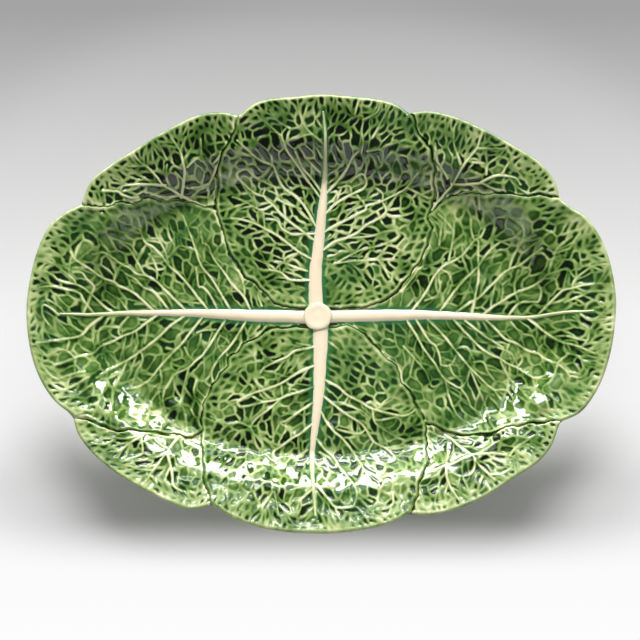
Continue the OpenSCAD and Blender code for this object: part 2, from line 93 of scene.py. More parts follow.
# The leaves' free margins, from the stem outwards
UPPER_MARGIN_L = places("""-18,7 -28,8 -34,11 -40,16 -45,21 -50,26 -57,30 -60,37 -66,45 -71,55
    -72,62 -75,69 -77,77 -79,86 -77,95 -76,112 -73,118 -70,124 -66,131 -63,140 -61,146""")
UPPER_MARGIN_R = places("""12,6 30,7 42,10 53,17 62,26 70,36 76,45 79,55 82,65 80,74 81,80 84,88
    85,92 84,97 84,108 82,115 81,121 78,124 74,130 71,136 69,142 65,147.5""")
LOWER_MARGIN_L = places("""-15,-8 -35,-9 -45,-14 -57,-21 -62,-27 -68,-30 -70,-38 -77,-46 -82,-55
    -87,-65 -88,-80 -88,-95 -86,-110 -84,-125 -79,-141""")
LOWER_MARGIN_R = places("""12,-8 22,-7 33,-15 45,-27 53,-35 58,-42 60,-50 66,-58 70,-67 75,-75
    78,-84 77,-90 78,-98 77,-110 72,-122 70,-133 64,-147""")
LEFT_MARGIN_U = places("""-76,77 -80,81 -90,84 -97,85.5 -105,87 -115,85 -122,86 -130,86 -135,84
    -140,82 -150,82 -155,80 -160,79 -165,78 -176,79.5""")
LEFT_MARGIN_D = places("""-87,-85 -95,-90 -105,-88 -120,-87 -140,-86 -152,-86 -165,-80 -180,-77""")
RIGHT_MARGIN_U = places("""81,78 86,82 90,86 95,89 100,90.5 110,91 120,90 130,89 140,89 145,87
    158,87 165,86 175,84.5""")
RIGHT_MARGIN_D = places("""76,-79 80,-80 90,-84 100,-88 115,-88 130,-86 138,-83 145,-82 160,-80
    174,-80""")

# The midribs: places along the middle and the width there
MIDRIBS = {
    "left": places("""-8,-0.4,9.4 -31,0.3,9.2 -50,0.8,8.8 -75,2,7.8 -100,2.8,6 -125,2.8,4.4
        -155,2.3,2.7 -175,-0.5,1.8 -192,-1,1.1"""),
    "right": places("""3,0,9.2 25,0.6,9.2 50,1,8.4 75,1.2,7.2 100,0.6,6 118,-0.2,5.2 132,-0.8,3.9
        153,-0.6,2.6 175,0.5,1.8 200,1,1.1"""),
    "upper": places("""-3.5,4,11.4 -4.3,20,10.6 -4,36,9.8 -2,52,8.8 -0.2,70,7.6 1.8,90,5.4
        2.9,106,3.4 3.1,120,2.2 3,135,1.5 1.5,150,1"""),
    "lower": places("""-0.5,-4,12 -0.4,-20,11.4 -0.8,-35,10 -1.4,-50,9 -3,-70,7.2 -5.2,-88,5.2
        -6.5,-101,4 -6.5,-115,2.9 -5.5,-130,1.9 -4,-150,1.1"""),
}
STEM = (-2.5, 0)

# The veins, one a row, from where it branches to where it ends; a leaf's longest come first
VEINS = {
    "upper": read_veins("""
-7,43 -16,48 -25,55 -33,61 -42,66 -50,70 -60,73 -67,74
-6,58 -14,64 -22,70 -30,77 -36,84 -41,88 -43,92 -42,95
-42,90 -50,93 -58,100 -63,105 -60,108 -55,109 -50,105 -42,101 -38,99 -33,97 -28,97
-5,70 -10,79 -14,85 -20,91 -28,97 -33,106 -36,112 -45,115 -55,122 -62,128
-36,112 -37,118
-1,90 -6,97 -10,102 -15,109 -19,114 -25,121 -28,128 -29,133 -26,137
-30,132 -36,137 -42,142 -46,144
-3,98 -8,105 -14,111 -17,117 -19,121
-1,108 -7,113 -12,117
1,117 -4,124
2,126 -8,134 -13,140 -15,146
-23,137 -32,142 -38,150
-16,48 -26,44 -28,40
-42,67 -43,78 -44,80
-36,84 -44,80 -51,83 -58,87 -66,90
-51,83 -57,82 -63,80
-32,88 -24,84 -15,81
-14,62 -22,62 -29,66 -33,72 -42,73
-10,27 -18,27 -24,28 -30,33 -38,35
-10,34 -20,37 -27,40 -35,41
3,51 10,56 19,59 27,63 34,69 42,73 48,78 48,82 46,86 46,92 42,96
19,59 30,59.5 40,61 48,64 56,65
5,65 10,68 20,73 27,77 33,80 34,83 40,85 46,87 52,90 60,94 64,97 69,103 72,106
5,79 10,84 16,88 23,92 30,95 34,100 32,106 28,106 22,101
5,94 10,99 15,105 19,110 22,115 24,118 28,121
13,41 20,45 30,50 38,52 46,54 55,58 58,61 56,64
10,40 30,42 55,43
5,45 10,46 15,49 22,49
23,92 21,98 13,97
27,91 31,87 37,90 42,92
31,87 33,83
49,77 54,75 62,76 68,78
64,97 70,94 76,91 80,89
30,120 31,128 30,135 31,142 30,146 22,144 17,139
31,143 41,148 44,155
25,147 28,158
38,130 43,139 48,148 52,155
34,121 44,122 46,119 45,113 42,118
"""),
    "left": read_veins("""
-53.5,7 -57.5,15 -66,24 -72,33 -79,42 -82,48 -84,53 -87,55
-68.5,7 -75,18 -81,28 -89,38 -93,49 -96,58 -100,68 -103,76
-85.5,7 -92,15 -98,23 -105,31 -113,38 -118,45 -125,52 -131,56 -135,65
-103,7 -108,12 -116,20 -122,26 -131,31 -137,32 -143,37 -148,39 -160,46 -168,44
-126,6 -130,10 -137,16 -143,20 -150,23 -154,26 -162,28 -170,33 -177,37 -181,40 -184,45
-156,4 -163,9 -170,15 -175,19 -180,21 -186,22 -193,24 -196,27 -202,30
-180,21 -182,25 -190,31 -197,36 -206,39
-131,31 -135,38 -139,45 -143,51 -149,55
-113,38 -115,46 -118,53 -122,60 -124,66
-115,43 -109,52 -113,60 -115,70
-114,6 -120,14 -125,19 -132,22 -138,28 -145,32
-122,28 -122,35 -125,43 -128,47
-122,35 -117,36 -114,40
-144,5 -148,11 -152,15
-170,15 -168,21 -173,26 -176,30 -182,30
-168,21 -164,24 -162,28
-154,26 -152,34 -148,39
-188,0 -193,5 -200,9
-193,-1 -198,3 -203,5 -204,0 -202,-5 -199,-9
-171,5 -175,10 -178,15 -186,17 -197,19 -206,18
-78,7.5 -83,17 -88,22 -91,23 -93,37
-44,8 -47,16 -46,20
-57.5,15 -57,20 -59,32
-93,50 -100,52 -106,53 -110,48 -114,43
-88,55 -90,64
-56,-4 -62,-14 -68,-23 -73,-28 -78,-35 -81,-42 -80,-48
-71,-3 -77,-12 -83,-22 -88,-29 -93,-33 -98,-38 -108,-43 -112,-49 -116,-55
-90,-3 -97,-12 -103,-20 -110,-27 -118,-36 -122,-41 -128,-48 -137,-53 -143,-54
-105,-2 -112,-7 -118,-13 -126,-20 -134,-26 -141,-31 -150,-36 -157,-41 -164,-47
-123,0 -130,-5 -138,-11 -148,-15 -155,-19 -163,-23 -168,-29 -180,-33 -190,-38 -195,-39
-143,0 -149,-7 -150,-12 -148,-15
-163,-1 -170,-8 -175,-15 -180,-18 -190,-20 -200,-22 -207,-23
-116,-55 -117,-62 -115,-70
-119,-40 -118,-47 -120,-54 -118,-56
-120,-56 -125,-62 -125,-68
-144,-33 -147,-42 -151,-50 -153,-55 -152,-65
-133,-27 -132,-33 -136,-40 -139,-48 -140,-53
-145,-16 -147,-25 -149,-34
-137,-11 -136,-20 -139,-26
-129,-5 -129,-12 -131,-20
-150,-8 -161,-8 -165,-15 -163,-23
-180,-33 -186,-28 -192,-28 -200,-33
-186,-28 -184,-21
-173,-43 -183,-46 -193,-50
-170,-47 -180,-54 -190,-58
-167,-52 -177,-60 -183,-62
-101,-23 -98,-29 -94,-33
-98,-38 -101,-50 -103,-60 -104,-67
-92,-47 -94,-55 -93,-63
-92,-12 -86,-10 -78,-10
-89,-13 -90,-19 -92,-22
-75,-14 -77,-20 -74,-26
-75,-14 -70,-17 -68,-20
-96,-69 -93,-75
-100,-73 -99,-85
"""),
    "right": read_veins("""
60,19 68,29 72,35 77,39 77,46
68,5 75,14 80,22 84,30 90,37 95,40 104,45 110,52 115,58 119,60 122,66
89,5 95,13 100,20 105,26 110,31 117,38 121,44 126,50 132,55 137,57 145,59
103,5 110,10 118,15 124,21 130,27 135,32 141,36 147,38 154,43 160,47 163,49
121,2 127,7 135,12 143,17 150,20 158,23 163,26 168,30 175,31
163,3 168,8 173,13 178,17 184,18 192,20 205,21
184,18 186,24 193,30 200,34 210,35
172,44 178,46 183,48 186,53 190,58
171,44 176,50 184,56
168,30 170,39 172,44 167,48
140,36 143,45 148,54 150,60 149,68
168,30 180,32 186,26
114,13 117,28 117,38 117,50 117,57 114,58 112,65 112,73
105,45 108,37 110,32
118,80 117,88
95,42 97,52 99,64 99,72
90,35 95,32 98,23
77,12 83,14 87,17 89,26
72,27 74,19 73,15
88,54 89,62 90,70
126,7 127,14 129,22 130,27
144,17 144,25 147,35
134,12 135,22 131,28
135,24 140,28
140,2 147,10 157,11 161,11 163,18 161,23
147,10 145,16
179,8 190,12 197,15 205,15
193,2 196,7 201,8 206,3
65,-5 70,-13 76,-24 82,-32 85,-36 88,-42 92,-47 98,-51 103,-53 108,-47 110,-40
82,-5 88,-11 94,-18 100,-26 106,-33 111,-39 117,-45 123,-51 128,-55 133,-62
100,-4 106,-11 112,-17 119,-24 127,-29 132,-31 138,-35 145,-38 152,-43 158,-47 166,-45
124,-4 130,-10 137,-17 145,-20 152,-25 160,-28 163,-31 168,-35 173,-37
154,-2 160,-7 166,-13 173,-19 178,-22 185,-24 192,-27 200,-31
173,-37 176,-34 180,-31 178,-27 178,-22
180,-30 187,-32 193,-37 201,-39
166,-15 165,-21 170,-28 174,-34
165,-21 161,-24 160,-28
173,-37 180,-44 182,-49
182,-47 190,-48 194,-43
173,-38 170,-46 167,-51 162,-56 165,-65
103,-53 108,-60 111,-67 118,-72
111,-41 116,-53 121,-65 124,-75
92,-47 94,-57 97,-66 102,-75 110,-80
128,-55 137,-55 142,-62
133,-33 138,-44 144,-51 150,-57
61,-22 69,-31 78,-42 82,-52 88,-50 91,-45
69,-31 66,-42
74,-8 80,-18 85,-22 88,-30 89,-36 96,-36 100,-29
85,-22 90,-20
95,-36 98,-43 104,-48
100,-24 108,-23 112,-30 114,-35 110,-39
113,-34 120,-34 124,-42 128,-47
113,-8 122,-15 130,-20 135,-24 133,-30
141,-4 145,-9 149,-12 147,-18
150,-13 157,-15 160,-22
145,-38 149,-32 146,-26
139,-21 136,-28 133,-31
131,-23 140,-27 143,-32 141,-36
180,-17 190,-20 195,-20 195,-12 190,-8 185,-3
190,-1 197,-6 213,-5
195,-20 191,-25
"""),
    "lower": read_veins("""
-11,-24 -20,-26 -25,-30 -32,-33 -42,-38 -45,-42
-8,-22 -18,-20
-8,-38 -15,-41 -22,-45 -30,-50 -40,-54 -50,-57 -58,-61 -62,-64 -60,-67
-6,-53 -15,-56 -25,-59 -33,-62 -44,-64 -50,-66 -58,-67
-50,-60 -45,-63
-7,-65 -15,-70 -25,-77 -30,-79 -25,-82
-30,-61 -35,-66 -40,-70 -48,-76 -52,-82 -50,-86 -49,-92 -46,-98 -40,-100
-9,-82 -15,-87 -22,-91 -30,-97 -35,-101 -33,-108
-10,-99 -17,-104 -20,-108
-5,-128 -12,-134 -18,-139
-35,-131 -40,-138 -44,-145
-34,-131 -32,-140 -31,-148
-52,-82 -60,-79 -68,-80 -73,-84
6,-49 13,-53 20,-59 28,-63 36,-68 42,-70 50,-72 60,-74 66,-72 70,-69
38,-69 39,-77 42,-81 48,-85 55,-89 63,-92 68,-90
5,-62 10,-66 16,-71 24,-76 30,-80 33,-84 36,-89 40,-94 48,-98 54,-104 57,-107
1,-73 5,-80 10,-86 15,-90 21,-97 25,-103 29,-110 32,-115 38,-118 44,-122
-2,-93 3,-99 9,-105 14,-113 18,-118 24,-126 26,-133 24,-141
-1,-101 5,-105 10,-110 14,-114
20,-60 18,-65 25,-68 31,-71 36,-75
18,-65 10,-64
33,-84 28,-87 20,-86 12,-84
38,-94 35,-101 40,-106 46,-109 52,-113
39,-77 45,-77 50,-76 56,-75 59,-79 56,-84 52,-86
0,-130 5,-136 10,-142 20,-143 25,-142 30,-147 34,-152
-4,-131 -3,-150
24,-141 27,-136 33,-141 38,-147 42,-150
10,-142 13,-150
52,-132 52,-140 48,-143 44,-144
"""),
    "upper_left": read_veins("""
-94,85.5 -100,88 -105,90.5 -112,94 -117,96 -122,102 -128,108 -134,112 -138,117
-116,96 -125,96 -140,95 -146,94 -148,91
-160,90 -150,90 -147,88 -141,86 -135,86.5
-160,91 -159,83
-104,90 -101,105 -102,112 -104,120 -110,129
-104,120 -100,130
-130,109 -142,108
-114,114 -119,124
-99,109 -92,115 -88,113
-89,129 -88,117 -86,111
-78,109 -85,95
-74,118 -80,112
"""),
    "upper_right": read_veins("""
83,81 88,87 92,92 98,98 104,108 110,116 115,122 117,128 119,133
116,122 130,121
103,111 100,120 98,126 98,136
94,102 90,108 85,114
98,98 110,97 119,97 125,94 132,91
119,98 126,101 133,102 143,100 147,95
133,102 137,109 142,115
122,103 123,110 130,115 135,120
112,112 120,111 123,109
"""),
    "lower_left": read_veins("""
-90,-80 -100,-83 -105,-90 -109,-96 -113,-103 -118,-110 -123,-117 -127,-124
-113,-103 -110,-110 -108,-120 -107,-127 -101,-131
-113,-99 -120,-94 -123,-91
-128,-88 -140,-92 -150,-92
-130,-90 -140,-96 -148,-103
-123,-116 -132,-115 -138,-113 -147,-111
-114,-104 -122,-106 -128,-103
-131,-92 -130,-103 -138,-107 -146,-111
-166,-96 -158,-97 -150,-93
-123,-120 -119,-125
"""),
    "lower_right": read_veins("""
92,-88 97,-92 102,-98 110,-104 112,-108 116,-113 122,-119 126,-123
110,-104 118,-101 122,-98 127,-95
110,-104 125,-103 137,-105 145,-109
137,-105 142,-99 152,-93
110,-104 103,-107 93,-111 82,-115 72,-118
92,-111 91,-118 93,-126 97,-133 100,-137
93,-100 92,-106 91,-111
92,-126 89,-134
112,-108 111,-115 107,-119 101,-120 95,-117
101,-120 99,-128
103,-121 107,-131
117,-120 114,-128
122,-119 132,-118 138,-113 133,-111
"""),
}


# Curves
def curve(points, steps, closed=False):
    """A smooth line through the points, with so many steps from each to the next."""
    p = points
    p = np.vstack([p[-1:], p, p[:2]] if closed else [2 * p[0] - p[1], p, 2 * p[-1] - p[-2]])
    a, b, c, d = p[:-3, None], p[1:-2, None], p[2:-1, None], p[3:, None]
    t = (np.arange(steps) / steps)[None, :, None]
    out = 0.5 * (2 * b + (c - a) * t + (2 * a - 5 * b + 4 * c - d) * t ** 2
                 + (3 * b - a - 3 * c + d) * t ** 3)
    out = out.reshape(-1, p.shape[1])
    return out if closed else np.vstack([out, p[-2:-1]])


def run(line):
    """How far along the line each of its points is."""
    return np.concatenate([[0], np.cumsum(np.hypot(*np.diff(line[:, :2], axis=0).T))])


def spread(line, count):
    """The same line with count + 1 points, evenly spaced."""
    at = run(line)
    want = np.linspace(0, at[-1], count + 1)
    return np.stack([np.interp(want, at, line[:, k]) for k in range(line.shape[1])], axis=1)


def sideways(line):
    """The way to the line's left at each of its points, one mm long."""
    way = np.gradient(line[:, :2], axis=0)
    way /= np.maximum(np.hypot(way[:, 0], way[:, 1]), 1e-9)[:, None]
    return np.stack([-way[:, 1], way[:, 0]], axis=1)


def beside(line, step):
    """The line moved to its left by step."""
    return line[:, :2] + step * sideways(line)


def rise(low, high, value):
    """A soft step from 0 at low to 1 at high."""
    t = np.clip((value - low) / (high - low), 0, 1)
    return t * t * (3 - 2 * t)


# The dish
# Steps of each kind of curve from one drawn place to the next
EDGE_STEPS, RIB_LINE_STEPS, MARGIN_STEPS, VEIN_STEPS, TWIG_STEPS = 8, 8, 7, 4, 3
LOBES = list(EDGE.values())
RIM_LINE = curve(np.vstack(LOBES), EDGE_STEPS, closed=True)
RIM_DIPS = np.concatenate([
    np.abs(2 * np.arange(len(lobe) * EDGE_STEPS) / (len(lobe) * EDGE_STEPS) - 1) ** 3
    for lobe in LOBES])
RIM_ANGLE = np.unwrap(np.arctan2(RIM_LINE[:, 1], RIM_LINE[:, 0]))
RIM_ANGLE = np.append(RIM_ANGLE, RIM_ANGLE[0] + 2 * math.pi)
RIM_REACH = np.hypot(RIM_LINE[:, 0], RIM_LINE[:, 1])
RIM_REACH = np.append(RIM_REACH, RIM_REACH[0])
RIM_DIPS = np.append(RIM_DIPS, RIM_DIPS[0])


def rim_at(angle):
    """How far out the edge is in that direction, and how near it is to a dip between two leaves."""
    turn = RIM_ANGLE[0] + (angle - RIM_ANGLE[0]) % (2 * math.pi)
    return np.interp(turn, RIM_ANGLE, RIM_REACH), np.interp(turn, RIM_ANGLE, RIM_DIPS)


def oval(angle, inset):
    """How far out the smooth oval is that lies so far inside the platter's box."""
    return ((np.abs(np.cos(angle)) / (HALF_L - inset)) ** OVAL_POWER
            + (np.abs(np.sin(angle)) / (HALF_W - inset)) ** OVAL_POWER) ** (-1 / OVAL_POWER)


def face(x, y):
    """Height of the dish's upper face, which the leaves lie on."""
    angle, reach = np.arctan2(y, x), np.hypot(x, y)
    edge, dip = rim_at(angle)
    rim, well = oval(angle, RIM_W), oval(angle, RIM_W + SLOPE_W)
    out = np.clip((reach - rim) / (edge - rim), 0, None)
    out = out * out / (out + RIM_BLEND) * (1 + RIM_BLEND)
    return (WELL_Z + SLOPE_RISE * rise(0, 1, (reach - well) / (rim - well))
            + out * (RIM_RISE - RIM_DIP * dip * out))


def face_normal(x, y, step=0.6):
    """Which way the dish's upper face points."""
    slope_x = (face(x + step, y) - face(x - step, y)) / (2 * step)
    slope_y = (face(x, y + step) - face(x, y - step)) / (2 * step)
    normal = np.stack([-slope_x, -slope_y, np.ones_like(slope_x)], axis=-1)
    return normal / np.linalg.norm(normal, axis=-1, keepdims=True)


# Modelling
CUTS = 7


def add_mesh(name, add, **settings):
    """Adds a plain mesh to start from, under that name."""
    for thing in bpy.context.selected_objects:
        thing.select_set(False)
    add(**settings)
    mesh = bpy.context.object
    mesh.name = mesh.data.name = name
    return mesh


def edit(select):
    """Starts editing the mesh, with all or none of it selected."""
    bpy.ops.object.mode_set(mode="EDIT")
    bpy.ops.mesh.select_all(action=select)


def stop_editing():
    bpy.ops.object.mode_set(mode="OBJECT")


def settle():
    """Takes the mesh's place up into its points."""
    bpy.ops.object.transform_apply(location=True, rotation=False, scale=False)


def get_points(block):
    """Where the mesh's points are, in metres."""
    points = np.empty(len(block.data.vertices) * 3, np.float32)
    block.data.vertices.foreach_get("co", points)
    return points.reshape(-1, 3).astype(float)


def set_points(block, points):
    """Puts the mesh's points at these places in mm, and shades it smooth."""
    block.data.vertices.foreach_set("co", (points * MM).astype(np.float32).ravel())
    block.data.update()
    block.data.shade_smooth()


def new_block(name, cells):
    """A block one unit each way, its top cut finer than its underside. Gives it and its points."""
    block = add_mesh(name, bpy.ops.mesh.primitive_grid_add, size=1, location=(0.5, 0.5, 0),
                     x_subdivisions=cells[0], y_subdivisions=cells[1])
    settle()
    edit("SELECT")
    bpy.ops.mesh.extrude_region_move(TRANSFORM_OT_translate={"value": (0, 0, 1)})
    bpy.ops.mesh.subdivide(number_cuts=CUTS)
    stop_editing()
    return block, get_points(block)


def paint(block, name, values):
    """A number at each point of the mesh, for its glaze."""
    layer = block.data.attributes.new(name, "FLOAT", "POINT")
    layer.data.foreach_set("value", np.asarray(values, np.float32).ravel())


def fire(piece, glaze, node):
    """Gives the finished piece its glaze and its node's place in the platter."""
    piece.data.materials.append(glaze)
    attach(piece, "root")
    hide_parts(node)


# Finishes
class Socket:
    """A shader value, for plain arithmetic between values."""

    def __init__(self, shader, link):
        self.shader, self.link = shader, link

    def _math(self, operation, a, b):
        return self.shader.node("ShaderNodeMath", {"operation": operation}, {0: a, 1: b})

    def __add__(self, other):
        return self._math("ADD", self, other)

    def __sub__(self, other):
        return self._math("SUBTRACT", self, other)

    def __rsub__(self, other):
        return self._math("SUBTRACT", other, self)

    def __mul__(self, other):
        return self._math("MULTIPLY", self, other)

    __radd__ = __add__
    __rmul__ = __mul__


class Shader:
    """A material and the nodes it is made of."""

    def __init__(self, name):
        self.material = bpy.data.materials.new(name)
        self.material.use_nodes = True
        self.tree = self.material.node_tree
        self.tree.nodes.clear()

    def node(self, kind, settings=None, inputs=None, output=0):
        """Adds a node of that kind: its settings first, then its sockets' values or links."""
        node = self.tree.nodes.new(kind)
        for key, value in (settings or {}).items():
            if key == "stops":
                ramp = node.color_ramp
                while len(ramp.elements) < len(value):
                    ramp.elements.new(1.0)
                for element, (position, color) in zip(ramp.elements, value):
                    element.position = position
                    element.color = color
            else:
                setattr(node, key, value)
        for key, value in (inputs or {}).items():
            if isinstance(value, Socket):
                self.tree.links.new(value.link, node.inputs[key])
            else:
                node.inputs[key].default_value = value
        return Socket(self, node.outputs[output])

    def number(self, name):
        return self.node("ShaderNodeAttribute", {"attribute_name": name}, output="Fac")

    def place(self):
        return self.node("ShaderNodeTexCoord", output="Object")

    def noise(self, size, detail=3.0):
        """Soft noise with waves that many mm across, from 0 to 1."""
        return self.node("ShaderNodeTexNoise", None,
                         {"Vector": self.place(), "Scale": 1 / (size * MM), "Detail": detail})

    def mix(self, share, a, b):
        return self.node("ShaderNodeMix", {"data_type": "RGBA"}, {0: share, 6: a, 7: b}, output=2)

    def ramp(self, value, stops):
        return self.node("ShaderNodeValToRGB", {"stops": stops}, {0: value})

    def step(self, value, low, high):
        return self.node("ShaderNodeMapRange", {"interpolation_type": "SMOOTHSTEP"},
                         {0: value, 1: low, 2: high})

    def bump(self, height, strength, distance):
        return self.node("ShaderNodeBump", None,
                         {"Height": height, "Strength": strength, "Distance": distance})

    def finish(self, surface):
        out = self.tree.nodes.new("ShaderNodeOutputMaterial")
        self.tree.links.new(surface.link, out.inputs["Surface"])
        return self.material

    def fired(self, color, roughness, normal):
        """The finished clay or glaze."""
        return self.finish(self.node("ShaderNodeBsdfPrincipled", None, {
            "Base Color": color, "Roughness": roughness, "IOR": 1.5, "Normal": normal}))


def srgb(*levels):
    """A colour as it is seen, 0 to 255, turned into light."""
    return (*[c / 255 / 12.92 if c <= 10 else ((c / 255 + 0.055) / 1.055) ** 2.4
              for c in levels], 1.0)


def gray(level):
    return (level, level, level, 1.0)


CREAM = srgb(226, 225, 184)
PALE_VEIN = srgb(198, 204, 150)
NEW_LEAF = srgb(154, 172, 108)
LEAF = srgb(118, 146, 78)
DEEP_LEAF = srgb(78, 112, 46)
COOL_LEAF = srgb(52, 104, 56)
SHADE = srgb(40, 72, 20)
POOL = srgb(14, 34, 7)
DARK_POOL = srgb(6, 15, 3)
EMERALD = srgb(56, 122, 74)
RIM_GREEN = srgb(166, 182, 124)
RIB_CREAM, RIB_BUFF = srgb(248, 232, 204), srgb(236, 220, 190)
RIB_TIP, RIB_EDGE = srgb(204, 212, 162), srgb(132, 178, 132)
PALE_CLAY, SANDY_CLAY = srgb(222, 206, 178), srgb(196, 178, 148)


def leaf_glaze():
    """Green glaze, thin and pale over the veins, and pooled dark in the cells between them."""
    shader = Shader("leaf_glaze")
    noise, step, number = shader.noise, shader.step, shader.number
    pool = number("pool") + (noise(2.2, 4.0) - 0.5) * 0.12
    color = shader.ramp(pool, [
        (0.0, CREAM), (0.13, PALE_VEIN), (0.27, NEW_LEAF), (0.42, LEAF), (0.56, DEEP_LEAF),
        (0.72, SHADE), (0.88, POOL), (1.0, DARK_POOL)])
    cool = step(noise(38.0, 2.0), 0.45, 0.7) * step(pool, 0.2, 0.45) * 0.25
    color = shader.mix(cool, color, COOL_LEAF)
    # pale green round the rim; its mask is weaker along the upper rim, which is painted shade
    rim = number("rim_near") * (1 - step(pool, 0.35, 0.75)) * step(noise(6.0), 0.3, 0.7)
    color = shader.mix(rim * 0.75, color, RIM_GREEN)
    beside_rib = number("rib_near") * (noise(7.0, 2.0) + 0.5)
    edge = step(beside_rib, 0.1, 0.8) * step(pool, 0.08, 0.5) * 0.6
    color = shader.mix(edge, color, EMERALD)
    return shader.fired(color, noise(9.0) * 0.04 + 0.03,
                        shader.bump(noise(4.0, 1.0), 0.06, 0.0006))


def rib_glaze():
    """Cream glaze with green that has run to the edges and out to the tips."""
    shader = Shader("rib_glaze")
    noise = shader.noise
    edge = shader.number("pool") + (noise(6.0, 3.0) - 0.5) * 0.3
    cream = shader.mix(noise(11.0, 4.0), RIB_CREAM, RIB_BUFF)
    color = shader.mix(shader.number("tip") * 0.9, cream, RIB_TIP)
    color = shader.mix(shader.step(edge, 0.3, 1.1) * 0.6, color, RIB_EDGE)
    return shader.fired(color, noise(9.0) * 0.05 + 0.07,
                        shader.bump(noise(4.0, 2.0), 0.12, 0.0006))


def under_glaze():
    """The even green glaze of the underside, paler over its low ribs."""
    shader = Shader("under_glaze")
    noise = shader.noise
    pool = shader.number("pool") + (noise(16.0, 4.0) - 0.5) * 0.5
    color = shader.ramp(pool, [(0.0, PALE_VEIN), (0.3, NEW_LEAF), (0.55, LEAF), (1.0, DEEP_LEAF)])
    color = shader.mix(shader.step(noise(1.6, 2.0), 0.66, 0.74) * 0.35, color, DEEP_LEAF)
    return shader.fired(color, noise(9.0) * 0.06 + 0.08,
                        shader.bump(noise(5.0, 3.0), 0.2, 0.0006))


def foot_clay():
    """Pale bare clay where the foot stands, glazed above."""
    shader = Shader("foot_clay")
    noise = shader.noise
    bare = shader.step(shader.number("bare") + (noise(3.0, 3.0) - 0.5) * 0.5, 0.35, 0.65)
    glaze = shader.mix(noise(9.0, 4.0), NEW_LEAF, LEAF)
    clay = shader.mix(noise(1.2, 5.0), PALE_CLAY, SANDY_CLAY)
    return shader.fired(shader.mix(bare, glaze, clay), bare * 0.62 + 0.1,
                        shader.bump(noise(0.8, 4.0), 0.25, 0.0003))


LEAF_GLAZE = leaf_glaze()
RIB_GLAZE = rib_glaze()
UNDER_GLAZE = under_glaze()
FOOT_CLAY = foot_clay()

# A leaf's relief, in mm: its grid's pitch and margin, and how far it goes under its neighbour
PITCH = 0.25
PAD = 6.0
TUCK = 1.6
# How far off the lines the distances are worked out
VEIN_REACH = 9.0
CELL_REACH = 13.0
RIM_REACHES, MARGIN_REACHES = 40.0, 20.0
# The seeds that the cells grow from: how many places are tried, how much further apart they lie
# along the veins, the squares they are sought in, and how far they stay off veins and edges
SEED_TRIES = 14000
SEED_PULL = 1.35
SEED_BOX = 5.0
SEED_OFF_VEIN, SEED_OFF_EDGE = 1.3, 3.2
RIM_CELL = 5.6
# Rows of cells along the edges: how far in from the edge, and how far apart
RIM_ROWS, MARGIN_ROW = ((3.8, 5.6), (9.0, 6.2)), (4.2, 6.0)
# How deep a deep pit and a dimple are, as shares of a pit's full depth
DEEP_PIT, DIMPLE = (0.72, 1.0), (0.04, 0.42)
# Width and height of the beads of clay on the veins, where they start and where they end
MAIN_VEIN = (1.5, 0.95), (0.95, 0.5)
BRANCH = (1.15, 0.85), (0.6, 0.32)
TWIG = (1.1, 0.88), (0.4, 0.24)
TWIG_SPACING, TWIG_L, TWIG_TURN = 24.0, 15, (0.5, 0.9)
# How near a twig comes to the leaf's edge, how clear of the other veins it starts, and how near
# it ends at one
TWIG_EDGE_GAP, TWIG_CLEAR_GAP, TWIG_MEET_GAP = 3.0, 2.1, 0.9
MAIN_VEIN_START = 15
NET_H, NET_W = 0.3, 0.75
PIT_H = 0.5
LIP_H, LIP_W = 0.42, 1.2
GROOVE_H = 1.2
RIB_TRENCH_H = 0.3
MARGIN_R = 1.2
MARGIN_DROP = 2.2
# The height and size of the soft random waves in the cells' walls, the clay and the glaze
CELL_WAVES = (0.8, 5.0), (0.4, 2.0)
CLAY_WAVES = (0.10, 7.0), (0.05, 2.6)
GLAZE_WAVES = (0.17, 6.5), (0.05, 2.4)
LONG_WAVE = (0.22, 24.0)
SMOOTHING, SMOOTH_SIZE = 0.4, 2.5
BULGE_SIZE = 6.0
GLAZE_DEPTH, GROOVE_GLAZE = 0.42, 0.42

# pits_in and pits_rim are the shares of deep pits inside and by the rim, cell the cells' size and
# pooling how strongly the glaze pools. The leaf's first side is the counter-clockwise one. A side
# is stretches of margin from the stem outwards, True where the leaf is tucked under another.
Leaf = namedtuple("Leaf", "thick cells seed pits_in pits_rim cell pooling first second")
CROSS, SIDE, CORNER = (CROSS_T, (37, 34)), (SIDE_T, (35, 40)), (CORNER_T, (24, 16))
LEAVES = {
    "upper": Leaf(*CROSS, 11, 0.75, 0.85, 7.2, 1.3,
                  [(UPPER_MARGIN_L, False)], [(UPPER_MARGIN_R, False)]),
    "lower": Leaf(*CROSS, 23, 0.3, 0.3, 7.2, 1.0,
                  [(LOWER_MARGIN_R, False)], [(LOWER_MARGIN_L, False)]),
    "left": Leaf(*SIDE, 37, 0.06, 0.45, 8.6, 0.9,
                 [(LOWER_MARGIN_L[:11], True), (LEFT_MARGIN_D, False)],
                 [(UPPER_MARGIN_L[:13], True), (LEFT_MARGIN_U, False)]),
    "right": Leaf(*SIDE, 41, 0.06, 0.45, 8.6, 0.9,
                  [(UPPER_MARGIN_R[:10], True), (RIGHT_MARGIN_U, False)],
                  [(LOWER_MARGIN_R[:10], True), (RIGHT_MARGIN_D, False)]),
    "upper_left": Leaf(*CORNER, 53, 0.5, 0.75, 7.4, 1.2,
                       [(LEFT_MARGIN_U, True)], [(UPPER_MARGIN_L[12:], True)]),
    "upper_right": Leaf(*CORNER, 67, 0.5, 0.75, 7.4, 1.2,
                        [(UPPER_MARGIN_R[9:], True)], [(RIGHT_MARGIN_U, True)]),
    "lower_left": Leaf(*CORNER, 71, 0.22, 0.25, 7.6, 1.1,
                       [(LOWER_MARGIN_L[10:], True)], [(LEFT_MARGIN_D, True)]),
    "lower_right": Leaf(*CORNER, 83, 0.22, 0.25, 7.6, 1.1,
                        [(RIGHT_MARGIN_D, True)], [(LOWER_MARGIN_R[9:], True)]),
}


